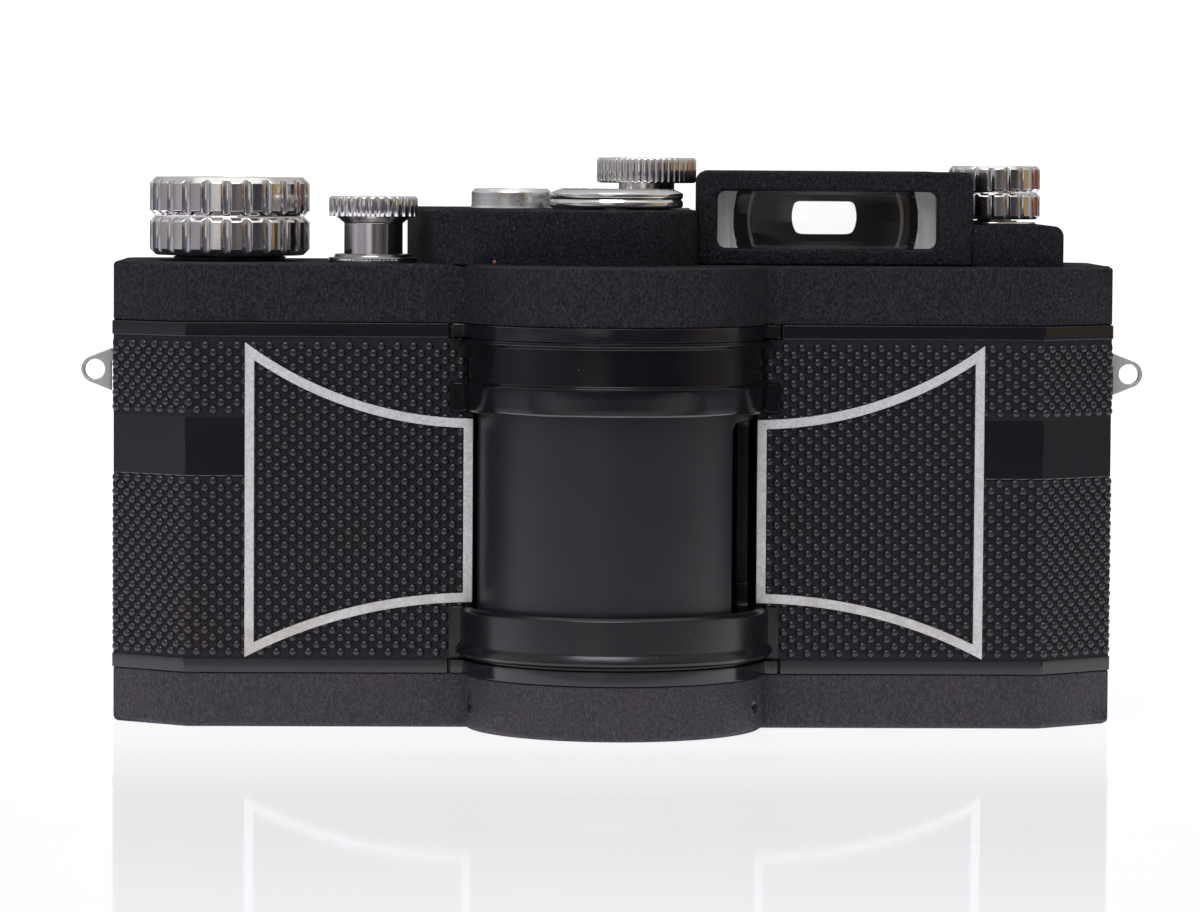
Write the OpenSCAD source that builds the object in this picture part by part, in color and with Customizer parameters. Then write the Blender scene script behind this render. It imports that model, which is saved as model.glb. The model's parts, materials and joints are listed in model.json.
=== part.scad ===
// Swing-lens panoramic film camera: a lens drum turns between two covers and paints the view
// on 35 mm film held in an arc behind it.
// Frame: origin under the drum axis on the base plane, +X to the right as seen from the front,
// -Y towards the subject, +Z up. All lengths are in millimetres.

/* [Case] */
// Width over the end walls
case_w = 145; // [144:0.5:156]
// Front face ahead of the drum axis
front_off = 2.9; // [2.6:0.1:3.3]
// Back face behind the drum axis
back_off = 33; // [32.8:0.2:38]
// Width of the front corner chamfers
corner_w = 10.7; // [9:0.1:12]
// Depth of the front corner chamfers
corner_d = 7.4; // [6:0.1:8.5]
// Radius of the rear corners
rear_r = 4; // [2.5:0.5:6]
// Height of the base cover
base_h = 7.9; // [7.5:0.1:10]
// Height of the casting between the covers
body_h = 50.4; // [50:0.1:56]
// Height of the top cover
top_h = 8.5; // [8.3:0.1:11]
// Radius of the bulge round the drum
bulge_r = 21.8; // [21.6:0.1:23]
// Wall of the two covers
cover_wall = 1.4; // [1:0.1:1.6]
// Height of the smooth bands above and below the covering
band_h = 2.1; // [1.6:0.1:2.6]
// How far the smooth bands stand proud of the covers
band_proud = 0.2; // [0:0.05:0.4]
// Thickness of the grained covering
skin_t = 0.5; // [0.3:0.05:0.7]

/* [Drum and film gate] */
// Height of the optical axis above the base cover
axis_rise = 24.1; // [23.8:0.1:25]
// Radius of the lens drum
drum_r = 20; // [19.6:0.1:20.3]
// Height of the lens drum
drum_h = 38; // [37.4:0.2:38.4]
// Wall of the drum
drum_wall = 1.6; // [1.2:0.1:2]
// Gap between the drum and its well
drum_gap = 0.7; // [0.5:0.05:0.8]
// Gap above and below the drum
end_gap = 0.5; // [0.3:0.05:0.6]
// Angle from straight ahead at which the lens is parked
park_a = 80.5; // [78:0.5:81]
// Width of the lens window in the drum
window_w = 14; // [12:0.5:15]
// Height of the lens window in the drum
window_h = 25.5; // [22:0.5:27]
// Radius of the film in the gate
film_r = 26; // [25.9:0.05:26.4]
// Height of the picture on the film
frame_h = 24; // [22:0.5:25]
// Angle of the picture on the film
frame_a = 130; // [120:1:132]
// Thickness of the curved film track
track_t = 1.2; // [0.8:0.1:1.3]

/* [Film chambers] */
// Distance of each spool from the drum axis, sideways
spool_x = 56.2; // [55.8:0.1:56.6]
// Distance of each spool behind the drum axis
spool_y = 15; // [14.8:0.1:15.6]
// Radius of the film chambers
chamber_r = 13.2; // [12.9:0.1:13.3]
// Place of the sprocket, sideways
sprocket_x = 37; // [36.6:0.1:37.4]
// Place of the sprocket behind the drum axis
sprocket_y = 17; // [16.8:0.1:17.6]
// Radius of the sprocket under the film
sprocket_r = 6.05; // [5.8:0.05:6.2]

/* [Controls] */
// Radius of the wind knob
wind_r = 11.7; // [10.5:0.1:12]
// Height of the wind knob
wind_h = 11.4; // [10:0.1:13]
// Radius of the rewind knob
rewind_r = 6.7; // [6.2:0.1:6.9]
// Height of the rewind knob
rewind_h = 7.8; // [7:0.1:9]
// How far the rewind knob lifts
rewind_lift = 7; // [5:0.5:7]
// Place of the release, sideways
release_x = 35; // [34.6:0.1:35.4]
// Place of the release behind the drum axis
release_y = 6; // [5.5:0.1:7]
// Travel of the release button
release_travel = 2.5; // [1.5:0.1:2.6]
// Radius of the aperture disc
disc_r = 9.65; // [9:0.05:9.9]
// Height of the aperture disc
disc_h = 2.75; // [2.2:0.05:3]
// Radius of the shutter-speed knob
speed_r = 7.3; // [6.6:0.1:7.4]
// Height of the shutter-speed knob
speed_h = 3.7; // [3:0.1:4.5]
// Place of the shutter-speed knob, sideways
speed_x = 4.9; // [4.6:0.1:5]
// Place of the shutter-speed knob behind the drum axis
speed_y = 14.2; // [14:0.1:15]

/* [Top housings] */
// Height of the dial platform above the top cover
platform_h = 7.95; // [7:0.05:9]
// Height of the finder housing above the top cover
finder_h = 13.6; // [12.8:0.1:15]
// Left wall of the finder housing
finder_x0 = 11.75; // [11.6:0.05:12.2]
// Right wall of the finder housing
finder_x1 = 51.65; // [51:0.05:53]
// Depth of the wide front block of the finder
finder_front_d = 6.5; // [6:0.1:6.8]
// Height of the rewind step beside the finder
step_h = 5.9; // [5:0.1:6.5]
// Right end of the rewind step
step_x1 = 64.8; // [63.5:0.1:66]
// Width of the finder window
finder_win_w = 31.8; // [28:0.1:32.4]
// Height of the finder window
finder_win_h = 8.4; // [7:0.1:8.8]
// Radius of the spirit level cup
level_r = 5.8; // [5.2:0.1:6]

/* [Trim and fittings] */
// Width of the bright trim strip
trim_w = 1.35; // [1:0.05:1.6]
// Thickness of the bright trim strip
trim_t = 0.5; // [0.3:0.05:0.8]
// Radius of the hole in each strap lug
lug_hole_r = 1.45; // [1.2:0.05:1.6]
// Thickness of each strap lug
lug_t = 1.2; // [0.8:0.1:1.6]
// Radius of the tripod socket's thread
tripod_r = 3.175; // [3:0.005:3.3]
// Thickness of the back door with its covering
door_t = 3.4; // [3:0.1:3.6]

/* [Fits] */
// Radial clearance of running shafts
run_fit = 0.05; // [0.02:0.01:0.08]
// Radial clearance of fixed bushes and screws
seat_fit = 0.02; // [0.01:0.005:0.03]
// Gap between the door or covers and the casting
panel_gap = 0.2; // [0.15:0.05:0.25]

/* [Hidden] */
$fn = 96;

// Levels and main planes
z_cast = base_h;
z_seat = base_h + body_h;
z_roof = z_seat + top_h;
axis_h = base_h + axis_rise;
seat_y = back_off - door_t - panel_gap;
half_w = case_w / 2;
face_y = skin_t - front_off;
plinth_h = 2;
deck_t = 1.4;
z_deck = z_seat - deck_t;
z_plinth = z_cast - plinth_h;

// Drum and gate
drum_z0 = axis_h - drum_h / 2;
drum_z1 = axis_h + drum_h / 2;
well_r = drum_r + drum_gap;
well_z0 = drum_z0 - end_gap;
well_z1 = drum_z1 + end_gap;
core_r = drum_r + 0.4;
skin_z0 = z_cast + band_h;
skin_z1 = z_seat - band_h;
film_w = 35;
gate_h = film_w + 2.2;
gate_z0 = axis_h - gate_h / 2;
gate_z1 = axis_h + gate_h / 2;
track_a = frame_a + 4;
gate_y = (film_r - track_t) * cos(track_a / 2) - 0.2;
snout_gap = 0.6;
snout_r = film_r - track_t - snout_gap;
trunnion_r = 4;
bearing_r = 6;
bearing_drop = 4;
cap_t = 3;
board_t = 1.6;
barrel_r = 7.5;
barrel_wall = 1.6;
barrel_front = 15.5;
barrel_back = 5;
front_set = 1;
front_lens_t = 3.4;
front_crown = 13;
rear_set = 0.6;
rear_lens_t = 2.8;
rear_crown = 16;
snout_w = 4.4;
snout_wall = 1;
snout_h = frame_h + 2 * snout_wall;
flywheel_r = 5.5;
plate_a = 50;

// Film transport
shaft_r = 3;
pin_r = 2;
roller_r = 2.6;
roller_x = 27.4;
roller_y = gate_y + roller_r + 0.5;
roller_pin_r = 1.2;
roller_pin_l = 2;
roller_gap = 0.3;
chamber_inner_x = spool_x - chamber_r;

// Gears: layer heights, teeth and modules
gear_z = z_seat + 0.9;
gear_t = 1.6;
wind_teeth = 24;
sprocket_teeth = 20;
spool_dist = norm([spool_x - sprocket_x, spool_y - sprocket_y]);
wind_module = 2 * spool_dist / (wind_teeth + sprocket_teeth);
wind_line_a = atan2(sprocket_y - spool_y, spool_x - sprocket_x);
drum_teeth = 56;
pinion_teeth = 14;
governor_module = 0.5;
governor_dist = governor_module * (drum_teeth + pinion_teeth) / 2 + 0.1;
governor_a = 40;
governor_x = governor_dist * cos(governor_a);
governor_y = governor_dist * sin(governor_a);
governor_pin_r = 1;
bridge_z = gear_z + 4.4;
bridge_t = 1.2;
bridge_arm = 9;
post_r = 2.4;

// Controls on the top
knob_lift = 0.8;
wind_z = z_roof + knob_lift;
disc_z = z_roof + platform_h + 0.2;
speed_z = disc_z + disc_h + 0.8;
speed_pin_r = 1.5;
speed_neck_r = 4.1;
neck_r = 4.25;
rim_r = 6.45;
flange_r = 6.5;
button_r = 1.9;
button_h = 3;
button_drop = 0.3;
spigot_wall = 1.2;
spigot_r = button_r + run_fit + spigot_wall;
rod_r = 1.2;
release_top = z_roof + 9.6;
rewind_z = z_roof + step_h + 0.8;
rewind_shaft_r = 2.5;
sleeve_wall = 0.8;
bush_wall = 1.5;
sleeve_r = rewind_shaft_r + run_fit + sleeve_wall;
fork_r = 3.6;
fork_l = rewind_lift - 1;
fork_z = z_deck - 0.5 - fork_l;
flange_t = 0.6;
spigot_h = 8.6;
rim_h = 2.9;
rim_flutes = 30;
rim_flute_r = 0.42;
collar_gap = 0.2;
button_top = release_top - button_drop;
rod_z = gear_z + gear_t + release_travel + 0.6;
spring_wire = 0.25;
spring_gap = 0.1;
spring_r = button_r - spring_wire - spring_gap;
spring_turns = 6;
dial_sink = 0.5;
disc_bevel_w = 1.4;
disc_bevel_h = 0.6;
disc_foot = 0.3;
disc_groove = 0.3;
disc_groove_z = 0.45 * disc_h;
disc_pin_z = gear_z + gear_t + 1.4;
spool_core_r = 5.5;
spool_flange_r = 10;
perf_off = 14.1;

// Top housings
platform_wall = 1.4;
platform_x0 = 30.3;
platform_corner_x = 26.2;
platform_corner_y = -1.5;
platform_nose_r = disc_r + 2.2;
platform_back = 28;
finder_y = 0;
finder_wall = 1.5;
finder_back = 30;
finder_rear_x0 = finder_x0 + 1.3;
finder_rear_x1 = finder_x1 - 2.9;
finder_z = z_roof + 6.6;
finder_cx = 30.5;
eyepiece_x = 32.1;
eyepiece_z = z_roof + 6.2;
eye_w = 13.4;
eye_h = 7.1;
eye_lens_w = eye_w + 2;
eye_lens_h = eye_h + 1.7;
mask_hole_w = eye_w + 4.6;
mask_hole_h = eye_h + 0.3;
mask_r = 1;
level_x = 15;
level_y = 8;
level_z = z_roof + platform_h;
level_h = 2.85;
finder_corner_r = 1.2;
finder_top_r = 1.6;
step_top_r = 1.5;
finder_lens_t = 1.2;
finder_hollow_r = 40;
finder_hollow_rim = 13.5;
finder_lens_d = finder_lens_t + finder_hollow_r - sqrt(pow(finder_hollow_r, 2) - pow(finder_hollow_rim, 2));
finder_lens_set = 0.8;
finder_mask_y = finder_back - 10;
eye_r = 1.8;
level_wall = 1.2;
level_floor = 0.7;
level_dome_r = 14;

// Surround rings
ring_wall = 2.2;
ring_r = drum_r + ring_wall;
ring_in_r = core_r + 0.1;
upper_z0 = well_z1 - 5.8;
upper_z1 = skin_z1;
upper_cone_h = 3.6;
upper_cone_w = 0.3;
upper_land_h = 0.5;
upper_step = 0.6;
lip_h = 0.6;
lip_proud = 0.2;
lower_z0 = skin_z0 + 0.4;
lower_z1 = well_z0 + 5.1;
lower_groove = 0.7;
lower_rim = 0.8;
lower_rim_h = 1.1;
lower_belt = 0.3;
lower_belt_z = 1.9;
lower_bevel = 0.5;
upper_land_z = upper_z0 + upper_cone_h + upper_land_h;
ear_lap = 0.8;
ear_out = 1.4;
ear_proud = 0.5;
ear_room = ring_r + ear_out + panel_gap;
band_joint_x = ring_r + 1.6;
band_joint_w = 0.35;
band_joint_d = 0.4;

// Trim outline, one side
trim_x0 = well_r - 0.25;
trim_x1 = 53.2;
trim_top_in = upper_z0 - 1.06;
trim_top_out = skin_z1 - 0.74;
trim_low_in = lower_z1 + 0.57;
trim_low_out = skin_z0 + 0.1;
side_band_z0 = axis_h + 4;
side_band_z1 = axis_h + 12.7;

// Door, hinge and latch
hinge_r = 1.75;
hinge_pin_r = 0.8;
hinge_x = 2.9 - half_w;
hinge_y = seat_y + hinge_r + 0.05;
knuckle_z0 = z_cast + 2;
knuckle_l = 14;
knuckle_z1 = z_seat - 2 - knuckle_l;
knuckle_gap = 0.3;
door_x0 = hinge_x + 3.3;
latch_travel = 3.5;
latch_depth = 1.3;
latch_x0 = half_w - skin_t - latch_depth;
latch_z0 = axis_h - 9;
latch_len = 12;
latch_y0 = 19.5;
latch_w = 6;
latch_gap = 0.2;
tongue_h = 1.3;
tongue_w = 2;
tongue_z = latch_z0 + latch_len + tongue_h;
hook_z = tongue_z + latch_travel + latch_gap;
hook_t = 2.4;
catch_h = 1.2;
catch_w = 1.6;
catch_y = latch_y0 + latch_w - latch_gap - catch_w;
lug_y = 8;
lug_z = skin_z1 - 5.2;
lug_reach = 2.9;
lug_rim = 0.55;
lug_tip_r = lug_hole_r + lug_rim;
lug_foot = 6.2;
lug_gap = 0.5;
lug_web = 1.6;
tripod_boss_r = 5;
screw_x = 60;
screw_y = [7, 24];
screw_r = 1.2;
screw_head_r = 2.2;
screw_head_h = 1.3;
big = 400;

black = "#1d1c1f";
satin = "#26252a";
chrome = "#c9c8c6";
brass = "#b08d4a";
glass = "#9fb4bd";
grain = "#232226";

// Points along an arc
function arc(c, r, a0, a1, n) = [for (k = [0:n]) let (a = a0 + (a1 - a0) * k / n) c + r * [cos(a), sin(a)]];

// Case outline in plan, drawn in by i, with its back at yb and rear corners of radius rr
function plan(i, yb, rr) = let (
    hw = half_w - i,
    yf = i - front_off,
    slant = corner_d * half_w - corner_w * (corner_d - front_off) - i * norm([corner_w, corner_d]),
    xc = (slant + corner_w * yf) / corner_d,
    yc = (corner_d * hw - slant) / corner_w,
    right = rr > 0 ? arc([hw - rr, yb - rr], rr, 0, 90, 6) : [[hw, yb]],
    left = rr > 0 ? arc([rr - hw, yb - rr], rr, 90, 180, 6) : [[-hw, yb]])
  concat([[-xc, yf], [xc, yf], [hw, yc]], right, left, [[-hw, yc]]);

// Straight-flanked gear teeth, thinned for backlash
function gear_points(teeth, m) = let (flank = [[-1.2, -0.34], [0.8, -0.15], [0.8, 0.15], [-1.2, 0.34]])
  [for (k = [0:teeth - 1]) for (p = flank)
    let (a = 360 * (k + p[1]) / teeth, r = m * (teeth / 2 + p[0])) [r * cos(a), r * sin(a)]];

module case_plan(i, yb, rr) {
  polygon(plan(i, yb, rr));
  circle(r = bulge_r - i);
}

// Box given by its two corners
module span(a, b) {
  translate(a) cube(b - a);
}

// Ring sector between two angles
module sector(r0, r1, z0, z1, a0, a1) {
  rotate([0, 0, a0]) rotate_extrude(angle = a1 - a0) translate([r0, z0]) square([r1 - r0, z1 - z0]);
}

// Rounded rectangle round the origin
module rounded(w, h, r) {
  square([w - 2 * r, h], center = true);
  square([w, h - 2 * r], center = true);
  for (sx = [-1, 1]) for (sz = [-1, 1])
    translate([sx * (w / 2 - r), sz * (h / 2 - r)]) circle(r = r, $fn = 32);
}

// Rounded rectangle in the XZ plane, run along +Y from y0
module window_block(x, z, w, h, r, y0, d) {
  translate([x, y0, z]) rotate([90, 0, 0]) translate([0, 0, -d]) linear_extrude(d) rounded(w, h, r);
}

// Fluted knob with chamfered rims and an optional V-groove
module fluted_knob(r, h, flutes, flute_r, chamfer, groove_d) {
  flute_out = r + flute_r * 0.35;
  difference() {
    rotate_extrude() polygon([[0, 0], [r - chamfer, 0], [r, chamfer], [r, h / 2 - groove_d],
      [r - groove_d, h / 2], [r, h / 2 + groove_d], [r, h - chamfer], [r - chamfer, h], [0, h]]);
    for (k = [0:flutes - 1]) rotate([0, 0, 360 * k / flutes]) translate([flute_out, 0, -1])
      cylinder(r = flute_r, h = h + 2, $fn = 24);
  }
}

// Open-ended shell of the grained covering, full height between the smooth bands
module skin_shell() {
  translate([0, 0, skin_z0]) linear_extrude(skin_z1 - skin_z0) difference() {
    polygon(plan(0, seat_y, 0));
    polygon(plan(skin_t, seat_y + 1, 0));
  }
}

// Places of the release, both spools and the sprocket
module at_wind() { translate([-spool_x, spool_y, 0]) children(); }
module at_rewind() { translate([spool_x, spool_y, 0]) children(); }
module at_sprocket() { translate([-sprocket_x, sprocket_y, 0]) children(); }
module at_release() { translate([-release_x, release_y, 0]) children(); }
module at_speed() { translate([speed_x, speed_y, 0]) children(); }
module at_governor() { translate([governor_x, governor_y, 0]) children(); }
module at_rollers() { for (s = [-1, 1]) translate([s * roller_x, roller_y, 0]) children(); }
module at_screws() { for (s = [-1, 1]) for (y = screw_y) translate([s * screw_x, y, 0]) children(); }

// Turned to the parked position of the lens
module parked() { rotate([0, 0, park_a]) children(); }

module chamber(s) {
  translate([s * spool_x, spool_y, z_cast]) cylinder(r = chamber_r, h = z_deck - z_cast);
  span([s * spool_x - chamber_r, spool_y, z_cast], [s * spool_x + chamber_r, big / 4, z_deck]);
}

module body_casting() color(black) difference() {
  union() {
    translate([0, 0, z_cast]) linear_extrude(body_h) polygon(plan(skin_t, seat_y, 0));
    for (z = [z_cast, z_seat - band_h]) translate([0, 0, z]) linear_extrude(band_h)
      case_plan(-band_proud, seat_y, 0);
    translate([0, 0, z_plinth]) linear_extrude(plinth_h)
      case_plan(cover_wall + panel_gap, seat_y, 0);
    translate([0, 0, z_cast]) cylinder(r = core_r, h = body_h);
  }
  translate([0, 0, well_z0]) cylinder(r = well_r, h = well_z1 - well_z0);
  intersection() {
    translate([0, 0, gate_z0]) cylinder(r = film_r - track_t - 0.1, h = gate_h);
    span([-big, 1.5, 0], [big, big, big]);
  }
  span([-chamber_inner_x - 0.5, gate_y, gate_z0], [chamber_inner_x + 0.5, big / 4, gate_z1]);
  chamber(-1);
  chamber(1);
  translate([0, 0, well_z0 - bearing_drop]) cylinder(r = bearing_r + seat_fit, h = bearing_drop + 1);
  translate([0, 0, well_z1 - 1]) cylinder(r = bearing_r + seat_fit, h = big);
  at_wind() cylinder(r = shaft_r + run_fit, h = big);
  at_rewind() translate([0, 0, z_deck - 1]) cylinder(r = fork_r + 0.4, h = big);
  at_sprocket() translate([0, 0, gate_z0 - 3]) cylinder(r = pin_r + run_fit, h = big);
  at_rollers() translate([0, 0, gate_z0 - roller_pin_l])
    cylinder(r = roller_pin_r + run_fit, h = gate_h + 2 * roller_pin_l);
  at_governor() translate([0, 0, z_seat - 2]) cylinder(r = governor_pin_r + run_fit, h = big);
  at_screws() translate([0, 0, z_plinth - 1]) cylinder(r = screw_r + seat_fit, h = 1 + plinth_h - 0.5);
  // joints in the smooth bands beside the bulge
  for (s = [0, 1]) mirror([s, 0, 0]) for (z = [z_cast, z_seat - band_h])
    span([band_joint_x - band_joint_w / 2, -front_off - 1, z - 0.5],
      [band_joint_x + band_joint_w / 2, band_joint_d - band_proud - front_off, z + band_h + 0.5]);
  // pocket for the door latch in the end wall
  span([latch_x0, latch_y0 - 0.5, latch_z0 - 0.5], [big, big / 4, hook_z + hook_t + 0.4]);
}

module film_track() color(satin) difference() {
  sector(film_r - track_t, film_r, gate_z0, gate_z1, 90 - track_a / 2, 90 + track_a / 2);
  sector(film_r - track_t - 1, film_r + 1, axis_h - frame_h / 2, axis_h + frame_h / 2,
    90 - frame_a / 2, 90 + frame_a / 2);
}

module base_cover() color(black) difference() {
  union() {
    difference() {
      linear_extrude(base_h) case_plan(0, back_off, rear_r);
      translate([0, 0, cover_wall]) linear_extrude(base_h)
        case_plan(cover_wall, back_off - cover_wall, rear_r - cover_wall);
    }
    at_screws() cylinder(r = 3, h = z_plinth);
  }
  translate([0, 0, -1]) cylinder(r = tripod_boss_r + seat_fit, h = base_h);
  at_screws() {
    translate([0, 0, -1]) cylinder(r = screw_r + seat_fit, h = base_h);
    translate([0, 0, -1]) cylinder(r = screw_head_r + panel_gap, h = 1 + screw_head_h);
  }
}

module top_cover() color(black) difference() {
  translate([0, 0, z_seat]) linear_extrude(top_h) case_plan(0, back_off, rear_r);
  translate([0, 0, z_seat - 1]) linear_extrude(top_h + 1 - cover_wall)
    case_plan(cover_wall, back_off - cover_wall, rear_r - cover_wall);
  at_wind() cylinder(r = shaft_r + bush_wall + seat_fit, h = big);
  at_rewind() cylinder(r = sleeve_r + bush_wall + seat_fit, h = big);
  at_release() cylinder(r = rod_r + run_fit, h = big);
  cylinder(r = pin_r + run_fit, h = big);
  at_speed() cylinder(r = speed_pin_r + run_fit, h = big);
}

// Turned profile swept round the front of the drum and cut off at the casting's face
module front_ring(points) {
  difference() {
    rotate([0, 0, 180]) rotate_extrude(angle = 180) polygon(points);
    span([-big, face_y, -1], [big, big, big]);
  }
}

// Small block at each end of a surround, flat against the casting
module ears(z0, z1) {
  for (s = [0, 1]) mirror([s, 0, 0])
    span([ring_r - ear_lap, -front_off - ear_proud, z0], [ring_r + ear_out, face_y, z1]);
}

// Cone above the drum, a land, a bare band set back behind it and a lip under the smooth band
module upper_surround() color(satin) {
  lip_z = upper_z1 - lip_h;
  front_ring([[ring_in_r, upper_z0], [ring_r - upper_cone_w, upper_z0], [ring_r, upper_z0 + upper_cone_h],
    [ring_r, upper_land_z], [ring_r - upper_step, upper_land_z + lip_proud],
    [ring_r - upper_step, lip_z - upper_step / 2],
    [ring_r + lip_proud, lip_z], [ring_r + lip_proud, upper_z1], [ring_in_r, upper_z1]]);
  ears(upper_z0, upper_land_z);
}

// Groove, rim, belt and bevel below the drum
module lower_surround() color(satin) {
  rim_out = ring_r + lower_rim;
  belt_out = ring_r + lower_belt;
  front_ring([[ring_in_r, skin_z0], [ring_r - lower_groove, skin_z0], [ring_r - lower_groove, lower_z0],
    [ring_r + lip_proud, lower_z0 + 0.1], [rim_out, lower_z0 + lower_rim_h / 2],
    [rim_out, lower_z0 + lower_rim_h], [belt_out, lower_z0 + lower_belt_z],
    [belt_out, lower_z1 - lower_bevel], [belt_out - lower_bevel, lower_z1],
    [ring_in_r, lower_z1]]);
  ears(lower_z0 + lower_belt_z, lower_z1);
}

// Window in the right-hand covering through which the door latch is worked
module latch_window() {
  span([half_w - 2, latch_y0 - panel_gap, latch_z0 - panel_gap],
    [half_w + 2, latch_y0 + latch_w + panel_gap, latch_z0 + latch_len + latch_travel + panel_gap]);
}

module side_band_box() {
  span([trim_x1, -big, side_band_z0], [big, big, side_band_z1]);
}

// Right-hand covering, with room for the surrounds, the smooth side band and the strap lug
module covering() difference() {
  intersection() {
    skin_shell();
    span([trim_x0, -big, 0], [big, big, big]);
  }
  span([0, -big, upper_z0 - panel_gap], [ring_r - upper_step + panel_gap, face_y, big]);
  span([0, -big, upper_z1 - lip_h - upper_step / 2 - panel_gap],
    [ring_r + lip_proud + panel_gap, face_y, big]);
  span([0, -big, upper_z0 - panel_gap], [ear_room, face_y, upper_land_z + panel_gap]);
  span([0, -big, 0], [ear_room, face_y, lower_z1 + panel_gap]);
  side_band_box();
  span([half_w - 2, lug_y - lug_t / 2 - 0.1, lug_z - lug_foot / 2 - 0.1],
    [half_w + 2, lug_y + lug_t / 2 + 0.1, lug_z + lug_foot / 2 + 0.1]);
}

module left_covering() color(grain) mirror([1, 0, 0]) covering();

module right_covering() color(grain) difference() {
  covering();
  latch_window();
}

module side_bands() color(satin) difference() {
  for (s = [0, 1]) mirror([s, 0, 0]) intersection() {
    skin_shell();
    side_band_box();
  }
  latch_window();
}

// Area inside the trim's outline, drawn in by i, with concave arcs above and below
module trim_area(i) {
  run = trim_x1 - trim_x0;
  rise = trim_top_out - trim_top_in;
  drop = trim_low_in - trim_low_out;
  top_r = (run * run + rise * rise) / (2 * rise);
  low_r = (run * run + drop * drop) / (2 * drop);
  difference() {
    translate([trim_x0 + i, trim_low_out]) square([run - 2 * i, trim_top_out - trim_low_out]);
    translate([trim_x0, trim_top_in + top_r]) circle(r = top_r + i, $fn = 240);
    translate([trim_x0, trim_low_in - low_r]) circle(r = low_r + i, $fn = 240);
  }
}

module trim() translate([0, -front_off, 0]) rotate([90, 0, 0]) linear_extrude(trim_t) difference() {
  trim_area(0);
  trim_area(trim_w);
}

module left_trim() color(chrome) mirror([1, 0, 0]) trim();

module right_trim() color(chrome) trim();

// Platform outline: a straight left flank tangent to a round nose below the aperture disc
function platform_points(i) = let (
    p = [-platform_corner_x, platform_corner_y],
    r = platform_nose_r,
    ta = atan2(p[1], p[0]) + acos(r / norm(p)) + 360,
    nose = arc([0, 0], r - i, ta, 360 + asin(-2.4 / r), 14))
  concat([[-platform_corner_x + i, platform_corner_y + i * 0.8]], nose,
    [[finder_x0 - i, -1], [finder_x0 - i, platform_back - i], [-platform_x0 + i, platform_back - i]]);

module dial_platform() color(black) difference() {
  translate([0, 0, z_roof]) linear_extrude(platform_h) polygon(platform_points(0));
  translate([0, 0, z_roof - 1]) linear_extrude(platform_h + 1 - platform_wall)
    polygon(platform_points(platform_wall));
  cylinder(r = pin_r + run_fit, h = big);
  at_speed() cylinder(r = speed_pin_r + run_fit, h = big);
}

// Block from x0 to x1 with its two upper long edges rounded, run along +Y
module rounded_top(x0, x1, y0, y1, h, r) {
  translate([0, y1, z_roof]) rotate([90, 0, 0]) linear_extrude(y1 - y0) {
    translate([x0, 0]) square([x1 - x0, h - r]);
    translate([x0 + r, 0]) square([x1 - x0 - 2 * r, h]);
    for (x = [x0 + r, x1 - r]) translate([x, h - r]) circle(r = r, $fn = 32);
  }
}

module finder_housing() color(black) difference() {
  union() {
    rounded_top(finder_x0, finder_x1, finder_y, finder_y + finder_front_d, finder_h, finder_top_r);
    rounded_top(finder_rear_x0, finder_rear_x1, finder_y + 1, finder_back, finder_h, finder_top_r);
    rounded_top(finder_rear_x1 - 3, step_x1, finder_y + 0.6, finder_back - 3, step_h, step_top_r);
  }
  window_block(finder_cx, finder_z, finder_win_w, finder_win_h, finder_corner_r,
    finder_y - 1, finder_back - finder_wall - finder_y + 1);
  window_block(eyepiece_x, eyepiece_z, eye_lens_w + 0.1, eye_lens_h + 0.1, eye_r, finder_back - 3, 6);
  at_rewind() cylinder(r = sleeve_r + bush_wall + seat_fit, h = z_roof + step_h);
}

// Plano-concave negative lens behind the finder window
module finder_front_lens() color(glass, 0.5) difference() {
  window_block(finder_cx, finder_z, finder_win_w - panel_gap, finder_win_h - panel_gap, finder_corner_r,
    finder_y + finder_lens_set, finder_lens_d);
  translate([finder_cx, finder_y + finder_lens_set + finder_lens_t + finder_hollow_r, finder_z])
    sphere(r = finder_hollow_r);
}

module finder_mask() color(black) difference() {
  window_block(finder_cx, finder_z, finder_win_w - panel_gap, finder_win_h - panel_gap, finder_corner_r,
    finder_mask_y, 1);
  window_block(eyepiece_x - 0.6, finder_z, mask_hole_w, mask_hole_h, mask_r, finder_mask_y - 1, 3);
}

module eyepiece_lens() color(glass, 0.5)
  window_block(eyepiece_x, eyepiece_z, eye_lens_w, eye_lens_h, eye_r, finder_back - finder_wall, finder_wall);

module eyepiece_frame() color(satin) difference() {
  window_block(eyepiece_x, eyepiece_z, eye_lens_w + 3, eye_lens_h + 2.8, eye_r + 1, finder_back, 1.4);
  window_block(eyepiece_x, eyepiece_z, eye_w, eye_h, eye_r, finder_back - 1, 4);
}

module level_cup() color(chrome) translate([-level_x, level_y, level_z]) rotate_extrude()
  polygon([[0, 0], [level_r + 0.2, 0], [level_r, 0.5], [level_r, level_h - 0.5], [level_r - 0.5, level_h],
    [level_r - level_wall, level_h], [level_r - level_wall, level_floor], [0, level_floor]]);

module level_vial() color("#b9c46a") translate([-level_x, level_y, level_z + level_floor]) intersection() {
  cylinder(r = level_r - level_wall - 0.1, h = level_h - level_floor - 0.2);
  translate([0, 0, level_h - level_floor - 0.2 - level_dome_r]) sphere(r = level_dome_r);
}

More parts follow.
